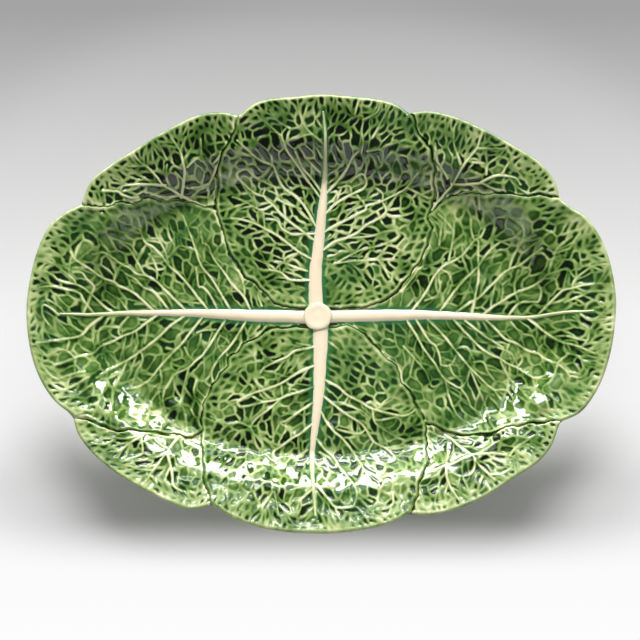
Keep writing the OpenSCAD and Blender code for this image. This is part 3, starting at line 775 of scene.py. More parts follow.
class Ground:
    """A leaf's relief on a fine square grid, before its mesh takes it."""

    def __init__(self, low, high, seed):
        self.low = np.asarray(low) - PAD
        count = np.ceil((np.asarray(high) + PAD - self.low) / PITCH).astype(int) + 1
        self.x, self.y = np.meshgrid(self.low[0] + PITCH * np.arange(count[0]),
                                     self.low[1] + PITCH * np.arange(count[1]))
        self.chance = np.random.default_rng(seed)

    def flat(self, value=0.0):
        return np.full(self.x.shape, value)

    def window(self, low, high):
        first = np.clip(((low - self.low) / PITCH).astype(int), 0, None)
        last = np.clip(((high - self.low) / PITCH).astype(int) + 2, 0, None)
        return slice(first[1], last[1]), slice(first[0], last[0])

    def strip(self, a, b, reach):
        """The grid near the line from a to b: how far off it each place is, and how far along."""
        part = self.window(np.minimum(a, b) - reach, np.maximum(a, b) + reach)
        x, y = self.x[part] - a[0], self.y[part] - a[1]
        way = b - a
        along = np.clip((x * way[0] + y * way[1]) / max(way @ way, 1e-9), 0, 1)
        return part, np.hypot(x - along * way[0], y - along * way[1]), along

    def distance(self, lines, reach=VEIN_REACH):
        """How far each place is from the nearest of the lines."""
        off = self.flat(reach)
        for line in lines:
            for a, b in zip(line[:-1], line[1:]):
                part, gap, _ = self.strip(a[:2], b[:2], reach)
                np.minimum(off[part], gap, out=off[part])
        return off

    def beyond(self, line):
        """How far each place is outside a line that has its width as its third number."""
        off = self.flat(VEIN_REACH)
        widest = line[:, 2].max() / 2
        for a, b in zip(line[:-1], line[1:]):
            part, gap, along = self.strip(a[:2], b[:2], VEIN_REACH + widest)
            np.minimum(off[part], gap - (a[2] + along * (b[2] - a[2])) / 2, out=off[part])
        return off

    def blur(self, field, size):
        """The field softened over that many mm."""
        high, wide = field.shape
        fy = np.fft.fftfreq(high)[:, None]
        fx = np.fft.rfftfreq(wide)[None, :]
        soften = np.exp(-2 * (math.pi * size / PITCH) ** 2 * (fx * fx + fy * fy))
        return np.fft.irfft2(np.fft.rfft2(field) * soften, field.shape)

    def noise(self, size):
        """Soft random waves about that many mm across, from about -1 to 1."""
        waves = self.blur(self.chance.standard_normal(self.x.shape), size / 2)
        return waves / (2 * waves.std())

    def waves(self, *parts):
        """Soft random waves added up, each with its height and its size."""
        return sum(height * self.noise(size) for height, size in parts)

    def at(self, field, x, y):
        """The field's value at each place."""
        fx = np.clip((x - self.low[0]) / PITCH, 0, field.shape[1] - 1.001)
        fy = np.clip((y - self.low[1]) / PITCH, 0, field.shape[0] - 1.001)
        ix, iy = fx.astype(int), fy.astype(int)
        fx, fy = fx - ix, fy - iy
        return ((field[iy, ix] * (1 - fx) + field[iy, ix + 1] * fx) * (1 - fy)
                + (field[iy + 1, ix] * (1 - fx) + field[iy + 1, ix + 1] * fx) * fy)


def wavy(line):
    """The drawn line with the small crimps of a leaf's margin; the same at the same place."""
    x, y = line[:, 0], line[:, 1]
    step_x = 0.5 * np.sin(0.43 * y + 0.21 * x) + 0.22 * np.sin(1.1 * y - 0.5 * x + 1.3)
    step_y = 0.5 * np.sin(0.37 * x - 0.17 * y + 0.6) + 0.22 * np.sin(1.2 * x + 0.6 * y + 2.1)
    return np.stack([x + step_x, y + step_y], axis=1)


def side_line(stretches, outwards):
    """A side of a leaf as one line, with its tucked and its free stretches apart."""
    whole, tucked, free = [], [], []
    for points, under in stretches:
        line = wavy(curve(points, MARGIN_STEPS))
        if under:
            line = beside(line, outwards * TUCK)
        (tucked if under else free).append(line)
        whole.append(line)
    return np.vstack(whole), tucked, free


class Veins:
    """Beads of clay along a leaf's veins; also how far off the nearest is, and its way."""

    def __init__(self, ground, inside):
        self.ground, self.inside = ground, inside
        self.bead, self.near = ground.flat(), ground.flat(VEIN_REACH)
        self.way = np.arctan2(ground.y - STEM[1], ground.x - STEM[0])

    def lay(self, path, wide, tall):
        """One bead, from its first width and height to its last."""
        share = run(path) / run(path)[-1]
        for k in range(len(path) - 1):
            part, gap, along = self.ground.strip(path[k], path[k + 1], VEIN_REACH)
            place = share[k] + along * (share[k + 1] - share[k])
            width = wide[0] + (wide[1] - wide[0]) * place
            height = tall[0] + (tall[1] - tall[0]) * place
            top = height * np.clip(1 - (gap / width) ** 2, 0, None) ** 1.1
            np.maximum(self.bead[part], top, out=self.bead[part])
            closer = gap < self.near[part]
            self.near[part][closer] = gap[closer]
            self.way[part][closer] = math.atan2(*(path[k + 1] - path[k])[::-1])

    def walk(self, start, heading, reach):
        """A branch from its start until it meets a vein, or the leaf's edge, or ends."""
        chance = self.ground.chance
        twist, p, path = chance.normal(0, 0.03), start, [start]
        for step in range(reach):
            heading += twist + chance.normal(0, 0.06)
            p = p + (math.cos(heading), math.sin(heading))
            gap = self.ground.at(self.near, p[0], p[1])
            inside = self.ground.at(self.inside, p[0], p[1])
            if inside < TWIG_EDGE_GAP or (step in (3, 4) and gap < TWIG_CLEAR_GAP):
                break
            path.append(p)
            if step > 4 and gap < TWIG_MEET_GAP:
                break
        return np.array(path)

    def grow(self, lines):
        """Twigs along each line, left and right in turn."""
        chance = self.ground.chance
        for line in lines:
            length = run(line)[-1]
            if length < TWIG_SPACING * 0.6:
                continue
            path = spread(line[:, :2], int(length) + 1)
            side, at = chance.choice((-1, 1)), TWIG_SPACING * chance.uniform(0.25, 0.6)
            while at < len(path) - 2:
                k = int(at) + 1
                way = path[k] - path[k - 1]
                heading = math.atan2(way[1], way[0]) + side * chance.uniform(*TWIG_TURN)
                twig = self.walk(path[k], heading, int(TWIG_L * chance.uniform(0.5, 1.2)))
                if len(twig) > 5:
                    self.lay(curve(spread(twig, max(2, len(twig) // 4)), TWIG_STEPS), *TWIG)
                side = -side
                at += TWIG_SPACING * chance.uniform(0.35, 0.65)


def lay_veins(ground, lines, rib, inside):
    """The leaf's own veins as drawn, and the twigs that branch from them."""
    veins = Veins(ground, inside)
    drawn = []
    for line in lines:
        from_rib = np.hypot(*(rib[:, :2] - line[0]).T).min() if rib is not None else 0
        main = from_rib < MAIN_VEIN_START and len(line) > 4
        if main:
            back = (line[0] - line[1]) * from_rib / np.hypot(*(line[0] - line[1]))
            line = np.vstack([line[0] + back, line])
        path = curve(line, VEIN_STEPS)
        drawn.append(path)
        veins.lay(path, *(MAIN_VEIN if main else BRANCH))
    if rib is not None:
        drawn.append(rib)
    veins.grow(drawn)
    return veins


def scatter(ground, near, edge, space, way, rows):
    """Where the cells between the veins lie: rows along the edges, then the rest at random, spaced
    further apart along the veins than across them."""
    chance = ground.chance
    seeds, boxes = [], {}

    def box_of(p):
        return int(p[0] // SEED_BOX), int(p[1] // SEED_BOX)

    def crowded(p, gap, turn=0.0, pull=1.0):
        i, j = box_of(p)
        reach = int(gap * pull // SEED_BOX) + 1
        c, s = math.cos(turn), math.sin(turn)
        for di in range(-reach, reach + 1):
            for dj in range(-reach, reach + 1):
                for q in boxes.get((i + di, j + dj), ()):
                    x, y = p[0] - q[0], p[1] - q[1]
                    along, across = (x * c + y * s) / pull, (y * c - x * s) * pull
                    if along ** 2 + across ** 2 < gap * gap:
                        return True
        return False

    def add(p):
        seeds.append(p)
        boxes.setdefault(box_of(p), []).append(p)

    for row, gap in rows:
        at, reach = run(row), 0.0
        while reach < at[-1]:
            p = (np.interp(reach, at, row[:, 0]), np.interp(reach, at, row[:, 1]))
            if not crowded(p, gap * 0.6):
                add(p)
            reach += gap * chance.uniform(0.7, 1.4)
    low, high = ground.low, ground.low + PITCH * np.array(ground.x.shape[::-1])
    tries = chance.uniform(low, high, (SEED_TRIES, 2))
    fields = [ground.at(field, tries[:, 0], tries[:, 1]) for field in (near, edge, space, way)]
    for p, gap, inside, room, turn in zip(tries, *fields):
        if gap > SEED_OFF_VEIN and inside > SEED_OFF_EDGE \
                and not crowded(p, room * chance.uniform(0.75, 1.1), turn, SEED_PULL):
            add((p[0], p[1]))
    return np.array(seeds)


def lay_cells(ground, seeds, way, deep, pull):
    """How far each place is from its cell's wall, and how deep that cell is."""
    first, second = ground.flat(CELL_REACH), ground.flat(CELL_REACH)
    depth = ground.flat()
    wave_x, wave_y = ground.waves(*CELL_WAVES), ground.waves(*CELL_WAVES)
    chance = ground.chance
    for p in seeds:
        turn = ground.at(way, p[0], p[1]) + chance.normal(0, 0.15)
        stretch = ground.at(pull, p[0], p[1]) * chance.uniform(0.85, 1.2)
        part = ground.window(p - CELL_REACH, p + CELL_REACH)
        x = ground.x[part] + wave_x[part] - p[0]
        y = ground.y[part] + wave_y[part] - p[1]
        along = (x * math.cos(turn) + y * math.sin(turn)) / stretch
        across = (y * math.cos(turn) - x * math.sin(turn)) * (0.7 + 0.3 * stretch)
        off = np.hypot(along, across)
        share = np.clip(ground.at(deep, p[0], p[1]), 0, 1)
        sunk = chance.uniform(*(DEEP_PIT if chance.random() < share else DIMPLE))
        closer = off < first[part]
        second[part] = np.where(closer, first[part], np.minimum(second[part], off))
        first[part] = np.where(closer, off, first[part])
        depth[part] = np.where(closer, sunk, depth[part])
    return (second - first) / 2, depth


class LeafClay:
    """A leaf's sides and rim, and over its ground the relief and the depth of the glaze."""

    def __init__(self, name):
        self.leaf = leaf = LEAVES[name]
        self.first, first_tucked, self.first_free = side_line(leaf.first, 1)
        self.second, second_tucked, self.second_free = side_line(leaf.second, -1)
        self.rim = curve(EDGE[name][::-1], EDGE_STEPS)
        rib = curve(MIDRIBS[name], RIB_LINE_STEPS) if name in MIDRIBS else None
        whole = np.vstack([self.first, self.second, self.rim])
        self.ground = ground = Ground(whole.min(0), whole.max(0), leaf.seed)
        base = [np.stack([self.first[0], self.second[0]])] if not first_tucked else []
        margins = self.first_free + self.second_free + base
        self.to_rim = ground.distance([self.rim], RIM_REACHES)
        self.to_margin = ground.distance(margins, MARGIN_REACHES)
        self.to_cover = ground.distance(first_tucked + second_tucked)
        self.free = np.minimum(self.to_rim, self.to_margin)
        self.from_stem = np.hypot(ground.x - STEM[0], ground.y - STEM[1])
        self.off_rib = ground.beyond(rib) if rib is not None else ground.flat(VEIN_REACH)
        inside = np.minimum(self.free, self.to_cover + 1.0)
        self.veins = lay_veins(ground, VEINS[name], rib, inside)
        self.near = np.minimum(self.veins.near, self.off_rib)
        self.lay_pits()
        self.lay_relief()
        self.lay_glaze()
        self.lay_bulges()

    def lay_pits(self):
        """The cells between the veins, and how deep the pit in each is."""
        leaf, ground, near, to_rim = self.leaf, self.ground, self.near, self.to_rim
        by_rim = rise(30.0, 16.0, to_rim)
        # deep pits lie inside, along the veins and round the rim, and fewer by the free margins
        deep = leaf.pits_in * (0.3 + 0.7 * rise(7.0, 22.0, self.to_margin)) \
            * (0.3 + 0.7 * rise(18.0, 52.0, self.from_stem))
        deep = deep * (1 - by_rim) + leaf.pits_rim * by_rim
        deep = deep + ground.waves(LONG_WAVE) + 0.25 * rise(4.5, 2.5, near)
        # by the rim and the free margins, and round the stem, the net fades to soft dimples
        soft = np.maximum(0.55 * rise(22.0, 11.0, to_rim), 0.7 * rise(18.0, 7.0, self.to_margin))
        soft = np.maximum(soft, 0.8 * rise(60.0, 32.0, self.from_stem)) * rise(1.0, 3.5, near)
        space = leaf.cell + (RIM_CELL - leaf.cell) * np.maximum(rise(24.0, 12.0, to_rim), soft)
        rows = [(beside(self.rim, -inwards), apart) for inwards, apart in RIM_ROWS]
        inwards, apart = MARGIN_ROW
        rows += [(beside(line, -inwards), apart) for line in self.first_free]
        rows += [(beside(line, inwards), apart) for line in self.second_free]
        seeds = scatter(ground, near, self.free, space, self.veins.way, rows)
        pull = 1.45 + 0.45 * rise(8.0, 2.0, near) + 0.3 * rise(16.0, 6.0, to_rim)
        self.wall, depth = lay_cells(ground, seeds, self.veins.way, deep, pull)
        self.soft, self.depth = soft, depth + 0.3 * soft * (1 - depth)

    def lay_relief(self):
        """Veins, net and pits, the leaf's raised lip, and grooves where leaf meets leaf."""
        ground, near, soft, wall = self.ground, self.near, self.soft, self.wall
        bowl = self.depth * rise(0.5 + 0.3 * soft, 1.4 + 1.0 * soft, wall)
        bowl = bowl * rise(0.6, 1.7, near) * rise(1.2, 3.6, self.free)
        self.bowl = bowl = ground.blur(bowl, 0.3)
        around = np.clip(0.3 + ground.blur(self.depth, 1.8) * 1.1, 0, 1) * (1 - 0.75 * soft)
        net = NET_H * np.exp(-(wall / NET_W) ** 2) * around
        net = net * np.clip(0.75 + 0.4 * ground.noise(8.0), 0.1, 1.2)
        relief = ground.blur(np.maximum(self.veins.bead, net), 0.3) - PIT_H * bowl
        relief += ground.waves(*CLAY_WAVES)
        cover = rise(TUCK - 0.4, TUCK + 1.2, self.to_cover)
        relief = relief * (0.4 + 0.6 * rise(0.8, 3.4, self.free)) * cover
        lip = LIP_H * np.exp(-((self.free - 1.8) / LIP_W) ** 2)
        lip = lip * np.clip(0.75 + 0.45 * ground.noise(5.0), 0.1, 1.3)
        relief += lip * (1 - 0.5 * rise(6.0, 3.0, self.to_rim))
        groove_w = np.clip(1.3 + 2.0 * ground.noise(9.0), 0.4, 3.2)
        groove = 1 - rise(TUCK, TUCK + groove_w, self.to_cover)
        relief -= RIB_TRENCH_H * (1 - rise(0.5, 3.0, self.off_rib))
        relief -= GROOVE_H * groove + 1.0 * (1 - rise(0, TUCK, self.to_cover))
        relief += ground.waves(LONG_WAVE)
        self.relief, self.groove = relief, groove * cover

    def lay_glaze(self):
        """How deep the glaze lies: thin on what stands up, and pooled in what lies low; with painted
        shade added along the upper rim, and a rim edge made paler partly by thinner glaze and partly
        by a painted highlight.
        """
        ground, relief, pooling = self.ground, self.relief, self.leaf.pooling
        pool = GLAZE_DEPTH + (ground.blur(relief, 1.3) - relief) * pooling
        pool = pool + (0.1 + 0.3 * pooling) * self.bowl + GROOVE_GLAZE * self.groove
        self.by_rib = (1 - rise(0.8, 4.6, self.off_rib)) * (1 - 0.65 * rise(50, 140, self.from_stem))
        shallow = (1 - rise(0.42, 0.6, self.depth)) * (1 - 0.8 * self.soft)
        pool += shallow * (0.12 * rise(0.4, 1.0, self.wall) - 0.07 * rise(1.2, 2.6, self.wall))
        pool += 0.1 * self.by_rib - 0.12 * rise(0.3, 0.75, self.veins.bead)
        pool += ground.waves(*GLAZE_WAVES)
        # paler near the rim's edge: partly thinner glaze over the edge, partly a painted highlight
        # along it
        pool -= 0.12 * rise(9.0, 2.0, self.to_rim)
        # painted shade: the glaze is painted darker along the upper rim
        self.pool = pool + 0.11 * rise(104.0, 132.0, ground.y)

    def lay_bulges(self):
        """The glaze lies smoother on the slope, and the clay bulges there and on the rim."""
        ground, to_rim = self.ground, self.to_rim
        slope = rise(20.0, 30.0, to_rim) * rise(66.0, 54.0, to_rim)
        self.relief -= SMOOTHING * slope * (self.relief - ground.blur(self.relief, SMOOTH_SIZE))
        bulge = rise(4.0, 10.0, to_rim) * rise(72.0, 58.0, to_rim) * rise(0.0, 4.0, self.off_rib)
        bulge = bulge * (0.28 + 0.72 * rise(-20.0, -75.0, ground.y))
        self.relief += bulge * ground.noise(BULGE_SIZE)


# The leaves
EDGE_SINK, LEAF_SINK = 0.6, 0.2
SIDE_STEPS = 600
# How far into the leaf the curve of its rim still shows in its cross rows
RIM_POWER = 2.5


def at_mark(line, where):
    """The line's places at these counts of its points."""
    marks = np.arange(len(line))
    return np.stack([np.interp(where, marks, line[:, k]) for k in range(line.shape[1])], axis=1)


def make_leaf(name):
    clay = LeafClay(name)
    ground, thick = clay.ground, clay.leaf.thick
    block, unit = new_block(name + "_leaf_glazed", clay.leaf.cells)

    # the flat unit block stretched to the leaf: across between its sides, and out to the rim
    across, out = unit[:, 0], unit[:, 1]
    a, b, c = (spread(line, SIDE_STEPS) for line in (clay.first, clay.second, clay.rim))
    c[0], c[-1] = a[-1], b[-1]
    u, v = across[:, None], out[:, None]
    chord = (1 - u) * a[-1] + u * b[-1]
    plan = (1 - u) * at_mark(a, out * SIDE_STEPS) + u * at_mark(b, out * SIDE_STEPS) \
        + v ** RIM_POWER * (at_mark(c, across * SIDE_STEPS) - chord)
    x, y = plan[:, 0], plan[:, 1]

    # the clay's place: flat units become the dish with the relief on it
    top = unit[:, 2] > 0.5
    floor = face(x, y)
    sunk = np.where(out > 0.999, (thick - EDGE_WALL) / 2 - EDGE_SINK, LEAF_SINK)
    points = np.stack([x, y, floor + sunk], axis=1)
    height = ground.at(clay.relief, x[top], y[top])
    rim_r = (EDGE_WALL + thick) / 2
    drop = np.zeros(len(x))
    for field, radius, depth in ((clay.to_rim, rim_r, rim_r), (clay.to_margin, MARGIN_R, MARGIN_DROP)):
        off = np.clip(1 - ground.at(field, x, y) / radius, 0, 1)
        drop = np.maximum(drop, depth * (1 - np.sqrt(1 - off * off)))
    lift = face_normal(x[top], y[top]) * height[:, None]
    points[top] = np.stack([x[top], y[top], (floor + thick - drop)[top]], axis=1) + lift
    set_points(block, points)
    paint(block, "pool", ground.at(clay.pool, x, y))
    paint(block, "rib_near", ground.at(clay.by_rib, x, y))
    rim_near = ground.at(1 - rise(2.0, 11.0, clay.to_rim), x, y)
    # the pale rim band, held back along the upper rim as painted shade
    paint(block, "rim_near", rim_near * (1 - 0.7 * rise(95.0, 130.0, y)))
    fire(block, LEAF_GLAZE, name + "_leaf")


# The midribs
RIB_H = 1.3
RIB_CELLS = (3, 36)
RIB_STEPS = 400
RIB_SINK, RIB_BED = 0.6, 0.4
RIB_SKIRT = 0.3
RIB_FULL_W = 6.5
RIB_WOBBLE = 0.12
# The power of the curve over the midrib's back
RIB_CROWN = 2.4


def make_midrib(name):
    block, unit = new_block(name + "_midrib_glazed", RIB_CELLS)
    line = spread(curve(MIDRIBS[name], RIB_LINE_STEPS), RIB_STEPS)
    level = unit[:, 1] * RIB_STEPS
    side = 1 - 2 * unit[:, 0]
    middle, turn = at_mark(line, level), at_mark(sideways(line), level)
    width = middle[:, 2]
    wobbles = np.random.default_rng(len(name)).uniform(-RIB_WOBBLE, RIB_WOBBLE, 40)
    wobble = np.interp(unit[:, 1], np.linspace(0, 1, len(wobbles)), wobbles)
    plan = middle[:, :2] + turn * (side * (width / 2 + RIB_SKIRT) + wobble)[:, None]
    x, y = plan[:, 0], plan[:, 1]
    thick = CROSS_T if name in ("upper", "lower") else SIDE_T
    tall = RIB_H * np.clip(width / RIB_FULL_W, 0.3, 1.0)
    lift = thick - RIB_SINK + (tall + RIB_SINK) * (1 - np.abs(side) ** RIB_CROWN)
    top = unit[:, 2] > 0.5
    points = np.stack([x, y, face(x, y)], axis=1)
    points[top] += face_normal(x[top], y[top]) * lift[top, None]
    points[~top, 2] += RIB_BED
    set_points(block, points)
    paint(block, "pool", rise(0.6, 1.0, np.abs(side)))
    paint(block, "tip", rise(5.0, 2.0, width))
    fire(block, RIB_GLAZE, name + "_midrib")


# The cut stem
STEM_R = 10.4
STEM_TOP = 14.7
STEM_DEEP = 5.0
STEM_EDGE = 1.4
# Each inset of the stem's top, from its edge in: how wide it is, and how far up
STEM_INSETS = ((0.25, 0.0), (0.5, 0.35), (0.8, 0.2), (1.0, 0.05), (1.0, -0.06), (1.2, -0.12),
               (1.2, -0.1), (1.2, 0.0), (1.2, 0.05), (1.0, 0.05))


def make_stem():
    stem = add_mesh("stem_button_glazed", bpy.ops.mesh.primitive_cylinder_add,
                    vertices=128, radius=STEM_R * MM, depth=STEM_DEEP * MM,
                    location=(STEM[0] * MM, STEM[1] * MM, (STEM_TOP - STEM_DEEP / 2) * MM))
    settle()
    edit("DESELECT")
    stop_editing()
    for side in stem.data.polygons:
        side.select = side.normal.z > 0.5
    bpy.ops.object.mode_set(mode="EDIT")
    bpy.ops.mesh.select_mode(type="FACE")
    for thickness, depth in STEM_INSETS:
        bpy.ops.mesh.inset(thickness=thickness * MM, depth=depth * MM)
    stop_editing()
    points = get_points(stem) / MM
    off = points[:, :2] - STEM
    turn, reach = np.arctan2(off[:, 1], off[:, 0]), np.hypot(off[:, 0], off[:, 1])
    grow = 1 + 0.012 * np.sin(2 * turn + 0.7) + 0.01 * np.sin(5 * turn) + 0.006 * np.sin(9 * turn + 2)
    points[:, :2] = np.array(STEM) + off * grow[:, None]
    tilt = 0.08 * np.sin(3 * turn + 1) * reach / STEM_R
    points[:, 2] += np.where(points[:, 2] > STEM_TOP - 1, tilt, 0)
    set_points(stem, points)
    paint(stem, "pool", rise(STEM_R - STEM_EDGE, STEM_R, reach))
    paint(stem, "tip", np.zeros(len(points)))
    fire(stem, RIB_GLAZE, "stem_button")


# The body and its foot
BODY_SPOKES = 384
# Where the body's rings lie over its slope and its rim, above and below, and in its flat middle
SLOPE_RINGS, RIM_RINGS = (0.0, 0.25, 0.5, 0.75), (0.0, 0.35, 0.7)
UNDER_SLOPE, UNDER_RIM = np.linspace(0.94, 0.0, 16), np.linspace(0.92, 0.0, 14)
FLAT_RINGS = (0.93, 0.6)
# Each ring of the rolled edge: how far in from the outline, and how far up
EDGE_ROLL = ((1.6, 0.1), (0.35, -0.1), (0.1, -0.5), (0.05, -1.0), (0.35, -1.5), (0.9, -1.9))
FLUTES = 46
FLUTE_H = 0.25
FLUTES_FROM, FLUTES_FULL = 120.0, 175.0


def make_body():
    """The dished wall: its upper face, its rolled edge and its underside, ring by ring from one
    circle."""
    angle = 2 * math.pi * np.arange(BODY_SPOKES) / BODY_SPOKES
    edge, _ = rim_at(angle)
    well, rim = oval(angle, RIM_W + SLOPE_W), oval(angle, RIM_W)
    rings = []

    def ring(reach, lift, under=0.0):
        x, y = reach * np.cos(angle), reach * np.sin(angle)
        points = np.stack([x, y, face(x, y) + lift], axis=1)
        rings.append(points - under * face_normal(x, y) if under else points)

    for share in SLOPE_RINGS:
        ring(well + (rim - well) * share, 0)
    for share in RIM_RINGS:
        ring(rim + (edge - rim) * share, 0)
    for inwards, up in EDGE_ROLL:
        ring(edge - inwards, up)
    top_rings = len(rings)
    for share in UNDER_RIM:
        wall = EDGE_WALL + (WALL - EDGE_WALL) * min(2 * (1 - share), 1)
        ring(rim + (edge - rim) * share, 0, wall)
    for share in UNDER_SLOPE:
        ring(well + (rim - well) * share, 0, WALL)
    for share in FLAT_RINGS:
        rings.append(rings[-1] * (share, share, 1.0))
        rings[-1][:, 2] = FOOT_H
    for points in rings:
        points[:, 2] = np.maximum(points[:, 2], FOOT_H)

    body = add_mesh("platter_body_glazed", bpy.ops.mesh.primitive_circle_add,
                    vertices=BODY_SPOKES, radius=1.0, fill_type="NGON")
    edit("SELECT")
    for _ in rings[1:]:
        bpy.ops.mesh.extrude_region_move(TRANSFORM_OT_translate={"value": (0, 0, -1.0)})
    stop_editing()
    points = get_points(body)
    level = np.round(-points[:, 2]).astype(int)
    turn = np.arctan2(points[:, 1], points[:, 0])
    spoke = np.round(turn / (2 * math.pi) * BODY_SPOKES).astype(int) % BODY_SPOKES
    points = np.stack(rings)[level, spoke]
    x, y = points[:, 0], points[:, 1]
    turn = np.arctan2(y, x)
    flutes = np.sin(turn * FLUTES + 2.0 * np.sin(turn * 5))
    flutes *= rise(FLUTES_FROM, FLUTES_FULL, np.hypot(x, y * HALF_L / HALF_W))
    flutes *= level >= top_rings
    points[:, 2] += FLUTE_H * flutes
    set_points(body, points)
    edit("SELECT")
    bpy.ops.mesh.normals_make_consistent(inside=False)
    stop_editing()
    paint(body, "pool", 0.45 - 0.35 * flutes)
    fire(body, UNDER_GLAZE, "platter_body")


FOOT_SPOKES = 256
# The foot starts as a round ring, and this power squares its section off
FOOT_ROUND = 10
FOOT_SQUARED = 0.45
FOOT_FLARE = 0.7
FOOT_KEY = 0.15


def make_foot():
    """The oval foot: a ring with rounded edges, its flat wiped clean of glaze."""
    foot = add_mesh("foot_ring_glazed", bpy.ops.mesh.primitive_torus_add,
                    major_segments=FOOT_SPOKES, minor_segments=24,
                    major_radius=FOOT_ROUND, minor_radius=1)
    points = get_points(foot)
    turn = np.arctan2(points[:, 1], points[:, 0])
    side = np.hypot(points[:, 0], points[:, 1]) - FOOT_ROUND
    high = points[:, 2]
    # the round section squared off: a rounded block, a little wider where it meets the body
    side = np.sign(side) * np.abs(side) ** FOOT_SQUARED
    high = np.sign(high) * np.abs(high) ** FOOT_SQUARED
    reach = oval(turn, FOOT_OUT + FOOT_W / 2) + side * (FOOT_W / 2 + FOOT_FLARE * rise(0.3, 1.0, high))
    z = np.where(high > 0.9, FOOT_H + FOOT_KEY, FOOT_H / 2 * (1 + high))
    set_points(foot, np.stack([reach * np.cos(turn), reach * np.sin(turn), z], axis=1))
    paint(foot, "bare", 1 - rise(0.5, 1.3, z))
    fire(foot, FOOT_CLAY, "foot_ring")


for leaf_name in LEAVES:
    make_leaf(leaf_name)
for rib_name in MIDRIBS:
    make_midrib(rib_name)
make_stem()
make_body()
make_foot()

# Floor, light and camera, in metres
FLOOR_SIZE = 9.0
# How far behind and in front of the middle the floor's tone changes
FLOOR_FADE = 0.28
# The floor's matte tone from in front of the platter to behind it, darker in front as painted
# shade that deepens the platter's shadow; and the tone that shows away from the shadow, darker
# behind as painted falloff of light on a studio sweep
MATTE_WITH_PAINTED_SHADE = [(0.0, gray(0.64)), (0.28, gray(0.68)), (0.45, gray(0.96)), (1.0, gray(0.7))]
SWEEP_WITH_PAINTED_FALLOFF = [(0.0, gray(1.0)), (0.5, gray(0.88)), (0.75, gray(0.58)), (0.92, gray(0.37))]

# This scale makes the platter's outline about a circle, one unit in radius
SHADOW_SCALE = (5.0, 6.7, 0.0)
# Where the floor stops taking the shadow: in front, behind beyond the outline, and all round
SHADOW_FRONT, SHADOW_BACK = (-0.145, -0.19), (-0.125, -0.05)
SHADOW_OUTLINE, SHADOW_END = (0.75, 1.0), (1.4, 1.8)

# Each lamp's place, aim, size and watts
LAMPS = {
    "softbox_above": ((0.0, 1.4, 1.12), (0, 0, 0), (1.5, 0.6), 45),
    "softbox_behind": ((0.0, 1.6, 0.34), (0, 0, 0.03), (2.8, 0.34), 38),
    "fill_in_front": ((0.0, -1.4, 0.9), (0, 0, 0), (2.0, 0.6), 9),
}
# Lamps that show only as reflections in the glaze
REFLECTIONS = {
    "strip_behind": ((0.0, 1.6, 0.36), (0, 0, 0.03), (3.2, 0.5), 105),
    "card_in_front": ((0.0, -1.6, 0.62), (0, 0, 0), (5.6, 0.65), 15),
    "window_above": ((0.0, 1.25, 1.3), (0, 0, 0), (0.6, 0.22), 6),
    "panel_behind": ((0.0, 1.6, 1.0), (0, 0, 0), (3.0, 0.9), 20),
    "sheet_above": ((0.0, 1.15, 1.5), (0, 0, 0), (3.0, 0.45), 9),
}
WORLD_LIGHT = 0.13

LENS, SENSOR = 137.1, 36.0
VIEW_TILT = math.radians(7.0)
VIEW_FAR = 1.8
VIEW_AIM = (-0.0008, -0.0035, 0.020)


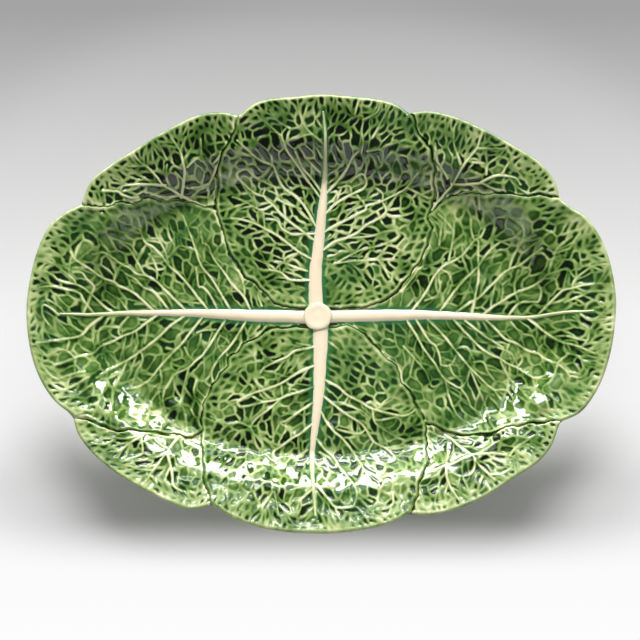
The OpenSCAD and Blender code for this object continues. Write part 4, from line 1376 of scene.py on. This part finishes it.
def make_floor():
    floor = add_mesh("studio_floor", bpy.ops.mesh.primitive_plane_add, size=FLOOR_SIZE,
                     location=(0, 0, 0))
    shader = Shader("studio_floor")
    place = shader.place()
    y = shader.node("ShaderNodeSeparateXYZ", None, {0: place}, output="Y")
    far = shader.node("ShaderNodeMapRange", None, {0: y, 1: -FLOOR_FADE, 2: FLOOR_FADE})
    path = "ShaderNodeLightPath"
    seen = shader.node(path, output="Is Camera Ray") + shader.node(path, output="Is Glossy Ray") \
        + shader.node(path, output="Is Transmission Ray")
    # the matte floor takes the real shadow, deepened in front by painted shade
    matte = shader.node("ShaderNodeBsdfDiffuse", None, {"Color": shader.ramp(far, MATTE_WITH_PAINTED_SHADE)})
    # away from the shadow the floor shows a plain tone, darker behind as painted falloff of light
    plain = shader.node("ShaderNodeEmission", None,
                        {"Color": shader.ramp(far, SWEEP_WITH_PAINTED_FALLOFF), "Strength": 1.0})
    # under the platter and just in front of it the floor takes the shadow
    scaled = shader.node("ShaderNodeVectorMath", {"operation": "MULTIPLY"},
                         {0: place, 1: SHADOW_SCALE})
    off = shader.node("ShaderNodeVectorMath", {"operation": "LENGTH"}, {0: scaled}, output="Value")
    behind = shader.step(y, *SHADOW_BACK) * shader.step(off, *SHADOW_OUTLINE) * 0.9
    in_front, away = shader.step(y, *SHADOW_FRONT), shader.step(off, *SHADOW_END)
    share = seen * (1 - (1 - in_front) * (1 - behind) * (1 - away))
    surface = shader.node("ShaderNodeMixShader", None, {0: share, 1: matte, 2: plain})
    floor.data.materials.append(shader.finish(surface))


def area_light(name, place, aim, size, watts):
    """A softbox at a place in metres, facing its aim."""
    data = bpy.data.lights.new(name, "AREA")
    data.shape = "RECTANGLE"
    data.size, data.size_y = size
    data.energy = watts
    light = bpy.data.objects.new(name, data)
    bpy.context.scene.collection.objects.link(light)
    light.location = place
    light.rotation_euler = (Vector(aim) - Vector(place)).to_track_quat("-Z", "Y").to_euler()
    return light


def set_light():
    world = bpy.data.worlds.new("studio")
    bpy.context.scene.world = world
    world.use_nodes = True
    back = world.node_tree.nodes["Background"]
    back.inputs["Color"].default_value = (1, 1, 1, 1)
    back.inputs["Strength"].default_value = WORLD_LIGHT
    for name, lamp in LAMPS.items():
        area_light(name, *lamp).visible_glossy = False
    for name, lamp in REFLECTIONS.items():
        area_light(name, *lamp).visible_diffuse = False


def set_camera():
    data = bpy.data.cameras.new("camera")
    data.sensor_fit = "HORIZONTAL"
    data.sensor_width = SENSOR
    data.lens = LENS
    camera = bpy.data.objects.new("camera", data)
    bpy.context.scene.collection.objects.link(camera)
    camera.location = (VIEW_AIM[0], VIEW_AIM[1] - VIEW_FAR * math.sin(VIEW_TILT),
                       VIEW_AIM[2] + VIEW_FAR * math.cos(VIEW_TILT))
    camera.rotation_euler = (VIEW_TILT, 0, 0)
    bpy.context.scene.camera = camera


make_floor()
set_light()
set_camera()
bpy.context.scene.view_settings.view_transform = "Standard"
